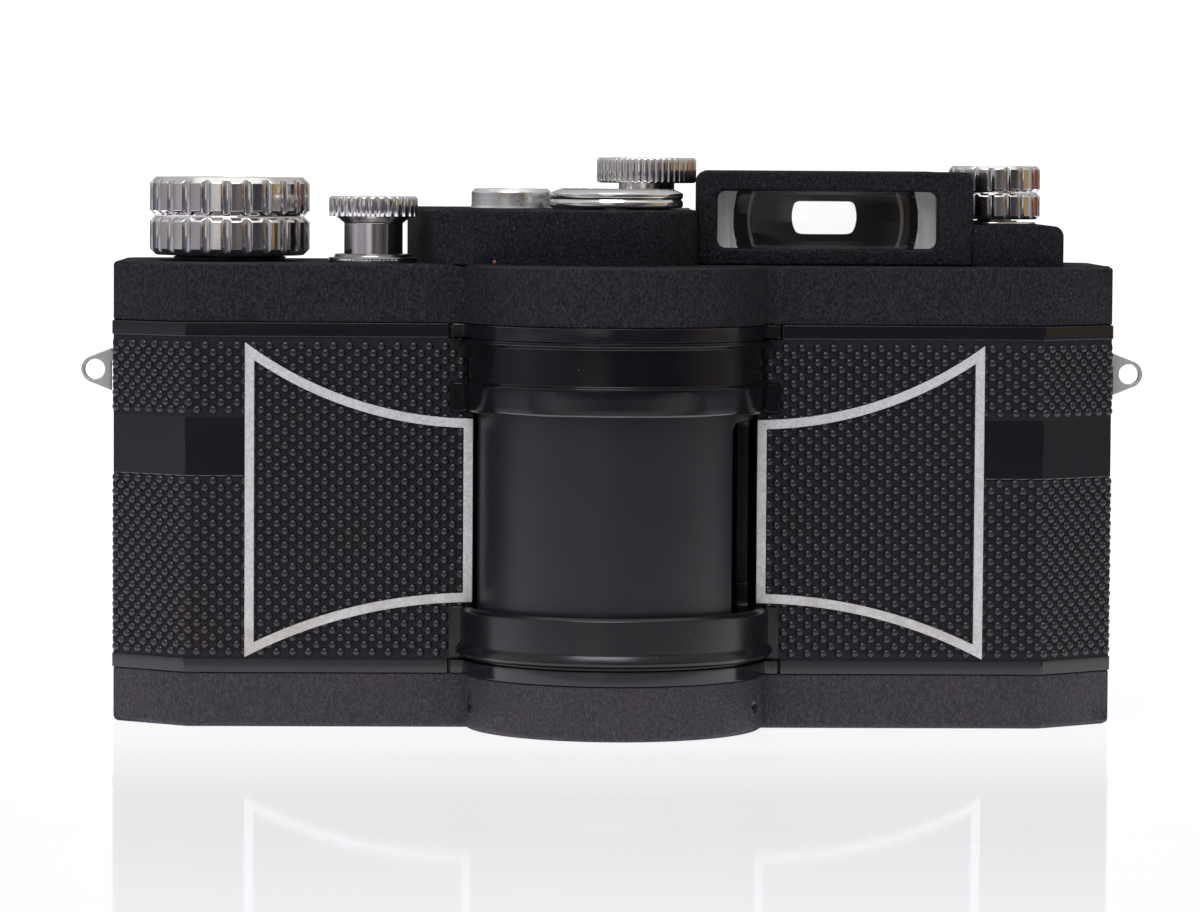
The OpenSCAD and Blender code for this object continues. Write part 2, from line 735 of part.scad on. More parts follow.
// Flat triangular eye, tangent to a round tip, that a short web holds off the wall
module strap_lug() {
  foot_x = half_w - skin_t;
  reach = lug_reach + skin_t;
  back = skin_t + lug_gap;
  d = norm([reach - back, lug_foot / 2]);
  a = 180 - atan2(lug_foot / 2, reach - back) - acos(lug_tip_r / d);
  t = [reach + lug_tip_r * cos(a), lug_tip_r * sin(a)];
  translate([foot_x, lug_y + lug_t / 2, lug_z]) rotate([90, 0, 0]) linear_extrude(lug_t) difference() {
    union() {
      polygon([[back, -lug_foot / 2], [t[0], -t[1]], [t[0], t[1]], [back, lug_foot / 2]]);
      translate([0, lug_foot / 2 - lug_web - 0.3]) square([back + 0.4, lug_web]);
      translate([reach, 0]) circle(r = lug_tip_r);
    }
    translate([reach, 0]) circle(r = lug_hole_r);
  }
}

module strap_lug_left() color(chrome) mirror([1, 0, 0]) strap_lug();

module strap_lug_right() color(chrome) strap_lug();

module tripod_bush() color(brass) difference() {
  cylinder(r = tripod_boss_r, h = z_plinth);
  translate([0, 0, -1]) cylinder(r = tripod_r, h = z_plinth + 2);
}

module base_screws() color(chrome) at_screws() difference() {
  union() {
    translate([0, 0, 0.2]) cylinder(r = screw_head_r, h = screw_head_h - 0.2);
    cylinder(r = screw_r, h = z_plinth + 1.4);
  }
  span([-screw_head_r, -0.3, -1], [screw_head_r, 0.3, 0.7]);
}

// Bronze rings that carry the drum's trunnions
module drum_bearings() color(brass) {
  bearing(well_z0 - bearing_drop, bearing_drop);
  bearing(well_z1, z_seat - well_z1);
}

module bearing(z, h) translate([0, 0, z]) difference() {
  cylinder(r = bearing_r, h = h);
  translate([0, 0, -1]) cylinder(r = trunnion_r + run_fit, h = h + 2);
}

module gear_bridge() color(brass) at_governor() rotate([0, 0, governor_a + 90]) difference() {
  union() {
    translate([0, 0, bridge_z]) linear_extrude(bridge_t) {
      square([2 * bridge_arm, 2 * post_r], center = true);
      for (s = [-1, 1]) translate([s * bridge_arm, 0]) circle(r = post_r);
    }
    for (s = [-1, 1]) translate([s * bridge_arm, 0, z_seat]) cylinder(r = post_r, h = bridge_z - z_seat);
  }
  cylinder(r = governor_pin_r + run_fit, h = big);
}

module wind_bush() color(chrome) at_wind() difference() {
  union() {
    translate([0, 0, z_roof - cover_wall]) cylinder(r = shaft_r + bush_wall, h = cover_wall);
    translate([0, 0, z_roof]) cylinder(r = wind_r - 3.5, h = knob_lift - 0.2);
  }
  cylinder(r = shaft_r + run_fit, h = big);
}

module rewind_bush() color(chrome) at_rewind() difference() {
  union() {
    translate([0, 0, z_roof - cover_wall]) cylinder(r = sleeve_r + bush_wall, h = cover_wall + step_h);
    translate([0, 0, z_roof + step_h]) cylinder(r = rewind_r - 0.6, h = 0.4);
  }
  cylinder(r = sleeve_r + run_fit, h = big);
}

module release_base() color(chrome) at_release() difference() {
  union() {
    translate([0, 0, z_roof]) cylinder(r = flange_r, h = flange_t);
    translate([0, 0, z_roof]) cylinder(r = spigot_r, h = spigot_h);
  }
  cylinder(r = rod_r + run_fit, h = big);
  translate([0, 0, z_roof + flange_t]) cylinder(r = button_r + run_fit, h = big);
}

// Points of the return spring's wire, wound round the release rod
function coil_ring(k, n, turns, r, wire, z0, z1) = let (
    a = 360 * turns * k / n,
    z = z0 + wire + (z1 - z0 - 2 * wire) * k / n)
  [for (j = [0:5]) let (q = r + wire * cos(60 * j)) [q * cos(a), q * sin(a), z + wire * sin(60 * j)]];

module release_spring() color(chrome) at_release() {
  n = 12 * spring_turns;
  rings = [for (k = [0:n]) each coil_ring(k, n, spring_turns, spring_r, spring_wire,
    z_roof + flange_t, button_top - button_h)];
  sides = [for (k = [0:n - 1]) for (j = [0:5]) let (a = 6 * k + j, b = 6 * k + (j + 1) % 6)
    each [[a, b, b + 6], [a, b + 6, a + 6]]];
  ends = [for (j = [1:4]) each [[0, j + 1, j], [6 * n, 6 * n + j, 6 * n + j + 1]]];
  polyhedron(points = rings, faces = [for (f = concat(sides, ends)) [f[0], f[2], f[1]]]);
}

module hinge_knuckles() color(satin) for (z = [knuckle_z0, knuckle_z1]) difference() {
  union() {
    translate([hinge_x, hinge_y, z]) cylinder(r = hinge_r, h = knuckle_l);
    span([hinge_x - 1.6, seat_y, z], [hinge_x, hinge_y, z + knuckle_l]);
  }
  translate([hinge_x, hinge_y, 0]) cylinder(r = hinge_pin_r + seat_fit, h = big);
}

module hinge_pin() color(chrome) translate([hinge_x, hinge_y, knuckle_z0])
  cylinder(r = hinge_pin_r, h = knuckle_z1 + knuckle_l - knuckle_z0);

module drum_shell() color(satin) parked() difference() {
  translate([0, 0, drum_z0]) cylinder(r = drum_r, h = drum_h);
  translate([0, 0, drum_z0 - 1]) cylinder(r = drum_r - drum_wall, h = drum_h + 2);
  window_block(0, axis_h, window_w, window_h, 1.5, -drum_r - 5, 15);
  span([-snout_w / 2 - panel_gap, drum_r / 2, axis_h - snout_h / 2 - panel_gap],
    [snout_w / 2 + panel_gap, drum_r + 5, axis_h + snout_h / 2 + panel_gap]);
}

module drum_caps() color(satin) {
  cap_r = drum_r - drum_wall - seat_fit;
  translate([0, 0, drum_z0]) cylinder(r = cap_r, h = cap_t);
  translate([0, 0, well_z0 - bearing_drop + 0.3]) cylinder(r = trunnion_r, h = bearing_drop);
  translate([0, 0, well_z0 - 1]) cylinder(r = trunnion_r, h = end_gap + 1);
  translate([0, 0, drum_z1 - cap_t]) cylinder(r = cap_r, h = cap_t);
  translate([0, 0, drum_z1]) cylinder(r = trunnion_r, h = gear_z + gear_t + 1 - drum_z1);
}

module lens_board() color(black) parked() difference() {
  board_w = sqrt(pow(drum_r - drum_wall, 2) - pow(board_t, 2)) - 0.1;
  span([-board_w, -board_t, drum_z0 + cap_t], [board_w, 0, drum_z1 - cap_t]);
  translate([0, 5, axis_h]) rotate([90, 0, 0]) cylinder(r = barrel_r + seat_fit, h = 10);
}

// Lens parts lie along the optical axis, which runs to -Y from the drum axis
module on_axis() { parked() translate([0, 0, axis_h]) rotate([90, 0, 0]) children(); }

module lens_barrel() color(black) on_axis() rotate_extrude() polygon([
  [barrel_r - barrel_wall, -barrel_back], [barrel_r, -barrel_back], [barrel_r, board_t],
  [barrel_r + 1, board_t],
  [barrel_r + 1, board_t + 1.2], [barrel_r, board_t + 1.2], [barrel_r, barrel_front - 0.6],
  [barrel_r - 0.6, barrel_front], [barrel_r - 0.9, barrel_front],
  [barrel_r - barrel_wall, barrel_front - front_set]]);

// Plano-convex element: edge radius r, centre thickness t, crown radius crown, crown towards +Z
module lens_element(r, t, crown) intersection() {
  cylinder(r = r, h = t);
  translate([0, 0, t - crown]) sphere(r = crown);
}

module front_lens() color(glass, 0.6) on_axis() translate([0, 0, barrel_front - front_set - front_lens_t])
  lens_element(barrel_r - barrel_wall - seat_fit, front_lens_t, front_crown);

module rear_lens() color(glass, 0.6) on_axis() translate([0, 0, rear_set + rear_lens_t - barrel_back])
  mirror([0, 0, 1]) lens_element(barrel_r - barrel_wall - seat_fit, rear_lens_t, rear_crown);

module slit_snout() color(black) parked() difference() {
  translate([0, 0, axis_h - snout_h / 2]) linear_extrude(snout_h)
    polygon([[-snout_w / 2, drum_r - 2.5], [snout_w / 2, drum_r - 2.5], [1.3, snout_r], [-1.3, snout_r]]);
  translate([0, 0, axis_h - frame_h / 2]) linear_extrude(frame_h)
    polygon([[-1.4, drum_r - 3], [1.4, drum_r - 3], [0.5, snout_r + 0.1], [-0.5, snout_r + 0.1]]);
}

module gear(teeth, m, turn, bore) {
  translate([0, 0, gear_z]) linear_extrude(gear_t) difference() {
    rotate(turn) polygon(gear_points(teeth, m));
    circle(r = bore);
  }
}

module drum_gear() color(brass) gear(drum_teeth, governor_module, governor_a, trunnion_r + seat_fit);

// Speed governor: pinion, flywheel and staff turned in one piece
module governor() color(brass) at_governor() {
  gear(pinion_teeth, governor_module, governor_a + 180 + 180 / pinion_teeth, governor_pin_r - 0.5);
  translate([0, 0, z_seat - 1.8]) cylinder(r = governor_pin_r, h = bridge_z + bridge_t - z_seat + 1.8);
  translate([0, 0, gear_z + gear_t]) cylinder(r = governor_pin_r + 0.8, h = 0.6);
  translate([0, 0, gear_z + gear_t + 0.6]) linear_extrude(1.4) difference() {
    circle(r = flywheel_r);
    for (k = [0:3]) rotate(90 * k) translate([flywheel_r - 2.2, 0]) circle(r = 1.2, $fn = 24);
  }
}

module wind_knob() color(chrome) at_wind() translate([0, 0, wind_z]) difference() {
  fluted_knob(wind_r, wind_h, 24, 0.8, 0.9, 0.8);
  translate([0, 0, -1]) cylinder(r = shaft_r + seat_fit, h = wind_h - 1.5);
  translate([0, 0, wind_h - dial_sink]) cylinder(r = wind_r - 2.4, h = 1);
}

module counter_dial() color(chrome) at_wind() translate([0, 0, wind_z + wind_h - dial_sink])
  cylinder(r = wind_r - 2.5, h = dial_sink - 0.1);

module wind_shaft() color(chrome) at_wind() translate([0, 0, z_plinth + 0.3])
  cylinder(r = shaft_r, h = wind_z + wind_h - 2.6 - z_plinth - 0.3);

module wind_gear() color(brass) at_wind()
  gear(wind_teeth, wind_module, wind_line_a, shaft_r + seat_fit);

module takeup_spool() color(black) at_wind() difference() {
  bore = shaft_r + seat_fit;
  rotate_extrude() polygon([[bore, z_cast + 0.4], [spool_core_r, z_cast + 0.4],
    [spool_core_r, gate_z0 - 0.8], [spool_flange_r, gate_z0 - 0.8], [spool_flange_r, gate_z0 + 0.2],
    [spool_core_r, gate_z0 + 0.8],
    [spool_core_r, gate_z1 - 0.8], [spool_flange_r, gate_z1 - 0.2], [spool_flange_r, gate_z1 + 0.8],
    [spool_core_r, gate_z1 + 0.8], [spool_core_r, z_deck - 0.4], [bore, z_deck - 0.4]]);
  for (a = [0, 120, 240]) rotate([0, 0, a])
    span([shaft_r, -0.6, axis_h - film_w / 2], [spool_core_r + 1, 0.6, axis_h + film_w / 2]);
}

module film_sprocket() color(chrome) at_sprocket() {
  translate([0, 0, gate_z0 - 2.6]) cylinder(r = pin_r, h = gear_z + gear_t + 0.6 - gate_z0 + 2.6);
  translate([0, 0, gate_z0 + 0.4]) cylinder(r = sprocket_r - 1.6, h = gate_h - 0.8);
  for (s = [-1, 1]) translate([0, 0, axis_h + s * perf_off]) {
    translate([0, 0, -1.5]) cylinder(r = sprocket_r, h = 3);
    for (k = [0:7]) rotate([0, 0, 45 * k])
      span([sprocket_r - 0.5, -0.6, -0.9], [sprocket_r + 0.85, 0.6, 0.9]);
  }
}

module sprocket_gear() color(brass) at_sprocket()
  gear(sprocket_teeth, wind_module, wind_line_a + 180 + 180 / sprocket_teeth, pin_r + seat_fit);

module rewind_sleeve() color(brass) at_rewind() difference() {
  translate([0, 0, z_roof - cover_wall - 1.4])
    cylinder(r = sleeve_r, h = rewind_z - z_roof + cover_wall + 1.2);
  cylinder(r = rewind_shaft_r + run_fit, h = big);
}

module rewind_knob() color(chrome) at_rewind() translate([0, 0, rewind_z]) difference() {
  fluted_knob(rewind_r, rewind_h, 18, 0.55, 0.5, 0.55);
  translate([0, 0, -1]) cylinder(r = rewind_shaft_r + seat_fit, h = rewind_h);
}

// Shaft with the two-bladed fork that turns the cassette
module rewind_shaft() color(chrome) at_rewind() difference() {
  union() {
    translate([0, 0, fork_z + fork_l - 1])
      cylinder(r = rewind_shaft_r, h = rewind_z + rewind_h - fork_z - fork_l - 0.1);
    translate([0, 0, fork_z]) cylinder(r = fork_r, h = fork_l);
  }
  span([-1.3, -fork_r - 1, fork_z - 1], [1.3, fork_r + 1, fork_z + fork_l - 1.5]);
}

module release_collar() color(chrome) at_release()
  translate([0, 0, z_roof + flange_t + collar_gap]) difference() {
  collar_h = release_top - z_roof - flange_t - collar_gap;
  rim_z = collar_h - rim_h;
  bore = spigot_r + run_fit;
  rotate_extrude() polygon([[bore, 0], [neck_r, 0], [neck_r, rim_z - 1], [rim_r - 0.9, rim_z],
    [rim_r, rim_z], [rim_r, collar_h - 0.3], [rim_r - 0.3, collar_h], [bore, collar_h]]);
  for (k = [0:rim_flutes - 1]) rotate([0, 0, 360 * k / rim_flutes]) translate([rim_r + 0.1, 0, rim_z - 1.5])
    cylinder(r = rim_flute_r, h = rim_h + 2, $fn = 16);
}

// Plunger with a conical seat for a cable release
module release_button() color(chrome) at_release() difference() {
  union() {
    translate([0, 0, button_top - button_h]) cylinder(r = button_r, h = button_h);
    translate([0, 0, rod_z]) cylinder(r = rod_r, h = button_top - button_h - rod_z + 1);
  }
  translate([0, 0, button_top - 2.2]) cylinder(r1 = 0.7, r2 = 1.15, h = 2.21);
}

// Disc with a broad bevel round its top and one turned groove
module aperture_disc() color(chrome) {
  translate([0, 0, disc_z]) rotate_extrude() polygon([[0, 0], [disc_r - disc_foot, 0], [disc_r, disc_foot],
    [disc_r, disc_groove_z - disc_groove], [disc_r - disc_groove, disc_groove_z],
    [disc_r, disc_groove_z + disc_groove], [disc_r, disc_h - disc_bevel_h],
    [disc_r - disc_bevel_w, disc_h], [0, disc_h]]);
  translate([0, 0, disc_pin_z]) cylinder(r = pin_r, h = disc_z - disc_pin_z + 1);
}

module speed_knob() color(chrome) at_speed() {
  translate([0, 0, speed_z]) fluted_knob(speed_r, speed_h, 48, 0.3, 0.3, 0);
  translate([0, 0, z_roof + platform_h + 0.2]) cylinder(r = speed_neck_r, h = speed_z - z_roof - platform_h);
  translate([0, 0, z_roof - cover_wall]) cylinder(r = speed_pin_r, h = platform_h + cover_wall + 1);
}

// Flanged roller that turns the film out of the gate
module guide_roller(s) {
  pin_end = gate_h / 2 + roller_pin_l - 0.2;
  end = gate_h / 2 - roller_gap;
  waist = perf_off - 2;
  translate([s * roller_x, roller_y, axis_h]) rotate_extrude() polygon([
    [0, -pin_end], [roller_pin_r, -pin_end], [roller_pin_r, -end], [roller_r, -end], [roller_r, -waist],
    [roller_r - 0.5, 0.6 - waist], [roller_r - 0.5, waist - 0.6], [roller_r, waist], [roller_r, end],
    [roller_pin_r, end], [roller_pin_r, pin_end], [0, pin_end]]);
}

module guide_roller_left() color(chrome) guide_roller(-1);

module guide_roller_right() color(chrome) guide_roller(1);

module back_door() color(satin) {
  difference() {
    union() {
      intersection() {
        translate([0, 0, z_cast + panel_gap]) linear_extrude(body_h - 2 * panel_gap)
          polygon(plan(0, back_off, rear_r));
        span([door_x0, seat_y + panel_gap, 0], [big, big, big]);
      }
      // middle knuckle and its web
      translate([hinge_x, hinge_y, knuckle_z0 + knuckle_l + knuckle_gap])
        cylinder(r = hinge_r, h = knuckle_z1 - knuckle_z0 - knuckle_l - 2 * knuckle_gap);
      span([hinge_x, hinge_y - 0.9, knuckle_z0 + knuckle_l + knuckle_gap],
        [door_x0 + 1, hinge_y + 0.9, knuckle_z1 - knuckle_gap]);
    }
    translate([hinge_x, hinge_y, 0]) cylinder(r = hinge_pin_r + run_fit, h = big);
    back_panel();
  }
  // riveted arm, and the catch block under its end that the latch holds
  arm_x = [latch_x0 + latch_gap, latch_x0 + 1];
  span([arm_x[0], catch_y, hook_z], [arm_x[1], seat_y + panel_gap - seat_fit, hook_z + hook_t]);
  span([arm_x[0], catch_y, hook_z - catch_h], [arm_x[1], catch_y + catch_w, hook_z - seat_fit]);
}

// Area of the door's covering, as a block from the outer face inwards
module back_panel() {
  span([door_x0 + 2.5, back_off - skin_t, z_cast + band_h], [half_w - rear_r - 1, back_off, z_seat - band_h]);
}

module back_covering() color(grain) back_panel();

module pressure_plate() color(satin) {
  sector(film_r + 0.25, film_r + 1.2, axis_h - film_w / 2, axis_h + film_w / 2, 90 - plate_a, 90 + plate_a);
  span([-8, film_r + 0.6, axis_h - 14], [8, seat_y + panel_gap, axis_h + 14]);
}

module door_latch() color(satin) difference() {
  far_y = latch_y0 + latch_w;
  pitch = latch_len / 5.5;
  union() {
    span([latch_x0 + latch_gap, latch_y0, latch_z0], [half_w - 0.1, far_y, latch_z0 + latch_len]);
    // tongue that rises behind the catch block
    span([latch_x0 + latch_gap, far_y - 0.5, latch_z0 + latch_len / 2],
      [latch_x0 + 1, far_y + tongue_w, latch_z0 + latch_len - 0.5]);
    span([latch_x0 + latch_gap, far_y, latch_z0 + latch_len / 2], [latch_x0 + 1, far_y + tongue_w, tongue_z]);
  }
  for (k = [1:4]) span([half_w - 0.5, latch_y0 - 1, latch_z0 + pitch * k],
    [half_w + 1, far_y + 1, latch_z0 + pitch * k + 0.9]);
}

body_casting();
film_track();
base_cover();
top_cover();
upper_surround();
lower_surround();
left_covering();
right_covering();
side_bands();
left_trim();
right_trim();
dial_platform();
finder_housing();
finder_front_lens();
finder_mask();
eyepiece_lens();
eyepiece_frame();
level_cup();
level_vial();
strap_lug_left();
strap_lug_right();
tripod_bush();
base_screws();
drum_bearings();
gear_bridge();
wind_bush();
rewind_bush();
release_base();
release_spring();
hinge_knuckles();
hinge_pin();
drum_shell();
drum_caps();
lens_board();
lens_barrel();
front_lens();
rear_lens();
slit_snout();
drum_gear();
governor();
wind_knob();
counter_dial();
wind_shaft();
wind_gear();
takeup_spool();
film_sprocket();
sprocket_gear();
rewind_sleeve();
rewind_knob();
rewind_shaft();
release_collar();
release_button();
aperture_disc();
speed_knob();
guide_roller_left();
guide_roller_right();
back_door();
back_covering();
pressure_plate();
door_latch();
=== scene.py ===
import bpy
import json
import math
from mathutils import Matrix, Vector
from mathutils.bvhtree import BVHTree


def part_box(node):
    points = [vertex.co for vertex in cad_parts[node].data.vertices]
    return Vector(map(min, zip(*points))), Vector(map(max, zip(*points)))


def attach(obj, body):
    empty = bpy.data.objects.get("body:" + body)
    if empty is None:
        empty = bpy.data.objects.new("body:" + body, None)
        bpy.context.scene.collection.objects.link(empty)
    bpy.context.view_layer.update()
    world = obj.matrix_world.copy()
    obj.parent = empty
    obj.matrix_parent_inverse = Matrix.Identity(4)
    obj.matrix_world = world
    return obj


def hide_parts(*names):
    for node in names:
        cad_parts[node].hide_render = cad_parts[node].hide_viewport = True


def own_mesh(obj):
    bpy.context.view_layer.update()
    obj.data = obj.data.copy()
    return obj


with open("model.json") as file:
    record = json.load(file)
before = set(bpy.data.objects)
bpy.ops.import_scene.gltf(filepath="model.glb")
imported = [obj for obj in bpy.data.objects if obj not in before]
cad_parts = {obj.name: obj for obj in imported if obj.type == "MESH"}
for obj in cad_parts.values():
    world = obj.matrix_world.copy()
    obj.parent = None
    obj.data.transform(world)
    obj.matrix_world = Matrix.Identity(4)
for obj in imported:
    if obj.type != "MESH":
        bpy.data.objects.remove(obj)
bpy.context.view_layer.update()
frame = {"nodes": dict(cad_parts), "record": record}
nodes = frame["nodes"]
record = frame["record"]
slotOf = {part["node"]: part["material_slot"] for part in record["subparts"]}
bodyOf = {name: body for body, names in record["behaviour"]["bodies"].items() for name in names}
scene = bpy.context.scene
mm = 0.001
print("frame loaded:", len(nodes), "CAD pieces")


# Working tools

def pick(piece):
    bpy.ops.object.select_all(action="DESELECT")
    piece.select_set(True)
    bpy.context.view_layer.objects.active = piece
    return piece


def applyAll(piece):
    pick(piece)
    for modifier in list(piece.modifiers):
        bpy.ops.object.modifier_apply(modifier=modifier.name)
    return piece


def seat(piece, body, slot, *replaced):
    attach(piece, body)
    if replaced:
        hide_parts(*replaced)
    return piece


def dress(piece, finish):
    piece.data.materials.clear()
    piece.data.materials.append(finish)
    return piece


merging = {"gap": 0.002, "flat": 0.2}  # mm within which points join, degrees within which faces are one


# A merged copy of a CAD piece, with its flat faces whole again, to be worked on by hand
def copyOf(node, name):
    piece = bpy.data.objects.new(name, nodes[node].data.copy())
    scene.collection.objects.link(piece)
    pick(piece)
    bpy.ops.mesh.customdata_custom_splitnormals_clear()
    bpy.ops.object.mode_set(mode="EDIT")
    bpy.ops.mesh.select_all(action="SELECT")
    bpy.ops.mesh.remove_doubles(threshold=merging["gap"] * mm)
    bpy.ops.mesh.dissolve_limited(angle_limit=math.radians(merging["flat"]))
    bpy.ops.mesh.select_all(action="DESELECT")
    bpy.ops.object.mode_set(mode="OBJECT")
    return seat(piece, bodyOf[node], slotOf[node], node)


def skinOf(node):
    return BVHTree.FromPolygons([v.co.copy() for v in nodes[node].data.vertices],
                                [tuple(f.vertices) for f in nodes[node].data.polygons])


# Rounds the edges that a test picks by their two ends
def roundEdges(piece, test, width, segments=3):
    pick(piece)
    bpy.ops.object.mode_set(mode="EDIT")
    bpy.ops.mesh.select_mode(type="EDGE")
    bpy.ops.mesh.select_all(action="DESELECT")
    bpy.ops.object.mode_set(mode="OBJECT")
    spots = piece.data.vertices
    for edge in piece.data.edges:
        edge.select = test(spots[edge.vertices[0]].co, spots[edge.vertices[1]].co)
    bpy.ops.object.mode_set(mode="EDIT")
    bpy.ops.mesh.bevel(offset=width, segments=segments, affect="EDGES", clamp_overlap=False, loop_slide=False)
    bpy.ops.object.mode_set(mode="OBJECT")
    return piece


# Eases every edge sharper than an angle
def easeEdges(piece, width, segments=2, angle=32):
    bevel = piece.modifiers.new("eased", "BEVEL")
    bevel.width = width
    bevel.segments = segments
    bevel.limit_method = "ANGLE"
    bevel.angle_limit = math.radians(angle)
    bevel.use_clamp_overlap = False
    return applyAll(piece)


def smooth(piece, angle=38):
    pick(piece)
    bpy.ops.object.shade_smooth_by_angle(angle=math.radians(angle))
    weighted = piece.modifiers.new("even", "WEIGHTED_NORMAL")
    weighted.keep_sharp = True
    return applyAll(piece)


# Shader tools

class Sock:  # a shader value that takes part in sums
    def __init__(self, tree, socket):
        self.tree = tree
        self.socket = socket

    def sum(self, operation, first, second):
        return self.tree.add("Math", {"operation": operation}, {0: first, 1: second})

    def __add__(self, other):
        return self.sum("ADD", self, other)

    def __sub__(self, other):
        return self.sum("SUBTRACT", self, other)

    def __rsub__(self, other):
        return self.sum("SUBTRACT", other, self)

    def __mul__(self, other):
        return self.sum("MULTIPLY", self, other)

    def __truediv__(self, other):
        return self.sum("DIVIDE", self, other)

    def most(self, other):
        return self.sum("MAXIMUM", self, other)

    __radd__ = __add__
    __rmul__ = __mul__


class Tree:  # the nodes of one material or of the world
    def __init__(self, owner):
        owner.use_nodes = True
        self.owner = owner
        self.nodes = owner.node_tree.nodes
        self.links = owner.node_tree.links

    def put(self, node, key, value):
        if isinstance(value, Sock):
            self.links.new(value.socket, node.inputs[key])
        else:
            node.inputs[key].default_value = value

    def add(self, kind, settings={}, inputs={}, output=0):
        node = self.nodes.new("ShaderNode" + kind)
        for key, value in settings.items():
            if key == "stops":
                for number, (at, colour) in enumerate(value):
                    stop = node.color_ramp.elements[number] if number < 2 else node.color_ramp.elements.new(at)
                    stop.position = at
                    stop.color = (*colour, 1)
            else:
                setattr(node, key, value)
        for key, value in inputs.items():
            self.put(node, key, value)
        return Sock(self, node.outputs[output])

    def blend(self, share, first, second):  # two colours, by a share from 0 to 1
        colours = [c if isinstance(c, Sock) else (*c, 1) for c in (first, second)]
        return self.add("Mix", {"data_type": "RGBA"}, {0: share, 6: colours[0], 7: colours[1]}, 2)

    def between(self, value, low, high):  # 0 below low, 1 above high, eased
        return self.add("MapRange", {"interpolation_type": "SMOOTHSTEP"}, {0: value, 1: low, 2: high})


class Finish(Tree):  # one material
    def __init__(self, name, **values):
        super().__init__(bpy.data.materials.new(name))
        self.shader = self.nodes["Principled BSDF"]
        self.where = self.add("TexCoord", output="Object")
        for key, value in values.items():
            self.feed(key, value)

    def feed(self, key, value):
        names = {"colour": "Base Color", "roughness": "Roughness", "metallic": "Metallic", "normal": "Normal",
                 "specular": "Specular IOR Level", "ior": "IOR", "clear": "Transmission Weight"}
        if isinstance(value, tuple) and len(value) == 3:
            value = (*value, 1)
        self.put(self.shader, names[key], value)

    def stretched(self, x, y, z):
        return self.add("Mapping", {}, {"Vector": self.where, "Scale": (x, y, z)})

    def noise(self, size, detail=2.0, roughness=0.5, distortion=0.0, where=None):  # size of a grain in mm
        return self.add("TexNoise", {}, {"Vector": where or self.where, "Scale": 1 / (size * mm), "Detail": detail,
                                         "Roughness": roughness, "Distortion": distortion})

    def cells(self, size):  # distance from the middle of cells of a size in mm
        return self.add("TexVoronoi", {}, {"Vector": self.where, "Scale": 1 / (size * mm)})

    def bump(self, height, depth, strength=1.0):  # depth in mm
        self.feed("normal", self.add("Bump", {}, {"Strength": strength, "Distance": depth * mm, "Height": height}))

    def axis(self, letter):
        return self.add("SeparateXYZ", {}, {0: self.where}, letter.upper())

    def spots(self, size, share):  # 1 inside rare round specks
        return 1 - self.between(self.cells(size), share * 0.6, share)


# Finishes: sizes of grains and depths in mm, ranges as a pair, hues as shares of a tone

def tinted(tone, hue):
    return tuple(tone * share for share in hue)


crackle = {"grain": 0.31, "flatten": 0.62, "fine": 0.13, "ridge": (0.42, 0.62), "rubbed": 6, "rubRange": (0.54, 0.74),
           "valley": (1, 0.94, 1.26), "crest": (1, 0.94, 1.2), "rubHue": (1.9, 1.0, 1.3), "lowest": 0.8, "highest": 1.2,
           "specks": (2.6, 0.05), "dust": (0.10, 0.09, 0.09), "edgeOn": (0.45, 0.9), "roughness": 0.46, "depth": 0.34}


def crackleEnamel(name, tone, specular, contrast=1.0):
    finish = Finish(name, specular=specular)
    grain = finish.noise(crackle["grain"], 2.0, 0.6, 0.8, finish.stretched(1, 1, crackle["flatten"]))
    fine = finish.noise(crackle["fine"], 2.0)
    ridge = finish.between(grain, *crackle["ridge"])
    rubbed = finish.between(finish.noise(crackle["rubbed"], 3, 0.65), *crackle["rubRange"])
    low, high = tone * (1 - crackle["lowest"] * contrast), tone * (1 + crackle["highest"] * contrast)
    paint = finish.blend(ridge, tinted(low, crackle["valley"]), tinted(high, crackle["crest"]))
    paint = finish.blend(rubbed * 0.5, paint, tinted(tone, crackle["rubHue"]))
    finish.feed("colour", finish.blend(finish.spots(*crackle["specks"]), paint, crackle["dust"]))
    edgeOn = finish.between(finish.add("LayerWeight", {}, {"Blend": 0.5}, "Facing"), *crackle["edgeOn"])
    finish.feed("roughness", crackle["roughness"] - ridge * 0.14 + fine * 0.08 + edgeOn * 0.45)
    finish.bump(grain * 0.85 + fine * 0.15, crackle["depth"], 1.0)
    return finish.owner


satin = {"cloud": 9, "rub": 0.5, "rubLength": 0.05, "dark": (1, 0.95, 1.35), "pale": (1.6, 1.45, 1.85),
         "specks": (3.1, 0.03), "dust": (0.11, 0.10, 0.10), "peel": 0.35, "depth": 0.006}


def satinEnamel(name, tone, roughness, specular):
    finish = Finish(name, specular=specular)
    cloud = finish.noise(satin["cloud"], 3, 0.6)
    rub = finish.noise(satin["rub"], 2, 0.5, 0.0, finish.stretched(1, 1, satin["rubLength"]))
    paint = finish.blend(cloud, tinted(tone, satin["dark"]), tinted(tone, satin["pale"]))
    finish.feed("colour", finish.blend(finish.spots(*satin["specks"]), paint, satin["dust"]))
    finish.feed("roughness", roughness + (cloud - 0.5) * 0.08 + (rub - 0.5) * 0.05)
    finish.bump(finish.noise(satin["peel"], 2), satin["depth"], 0.35)
    return finish.owner


matt = {"grain": 0.3, "dark": (0.004, 0.004, 0.0045), "pale": (0.009, 0.0086, 0.009), "roughness": 0.62, "depth": 0.02}


def mattBlack():
    finish = Finish("mattBlack", specular=0.25)
    grain = finish.noise(matt["grain"], 2)
    finish.feed("colour", finish.blend(grain, matt["dark"], matt["pale"]))
    finish.feed("roughness", matt["roughness"] + grain * 0.15)
    finish.bump(grain, matt["depth"], 0.5)
    return finish.owner


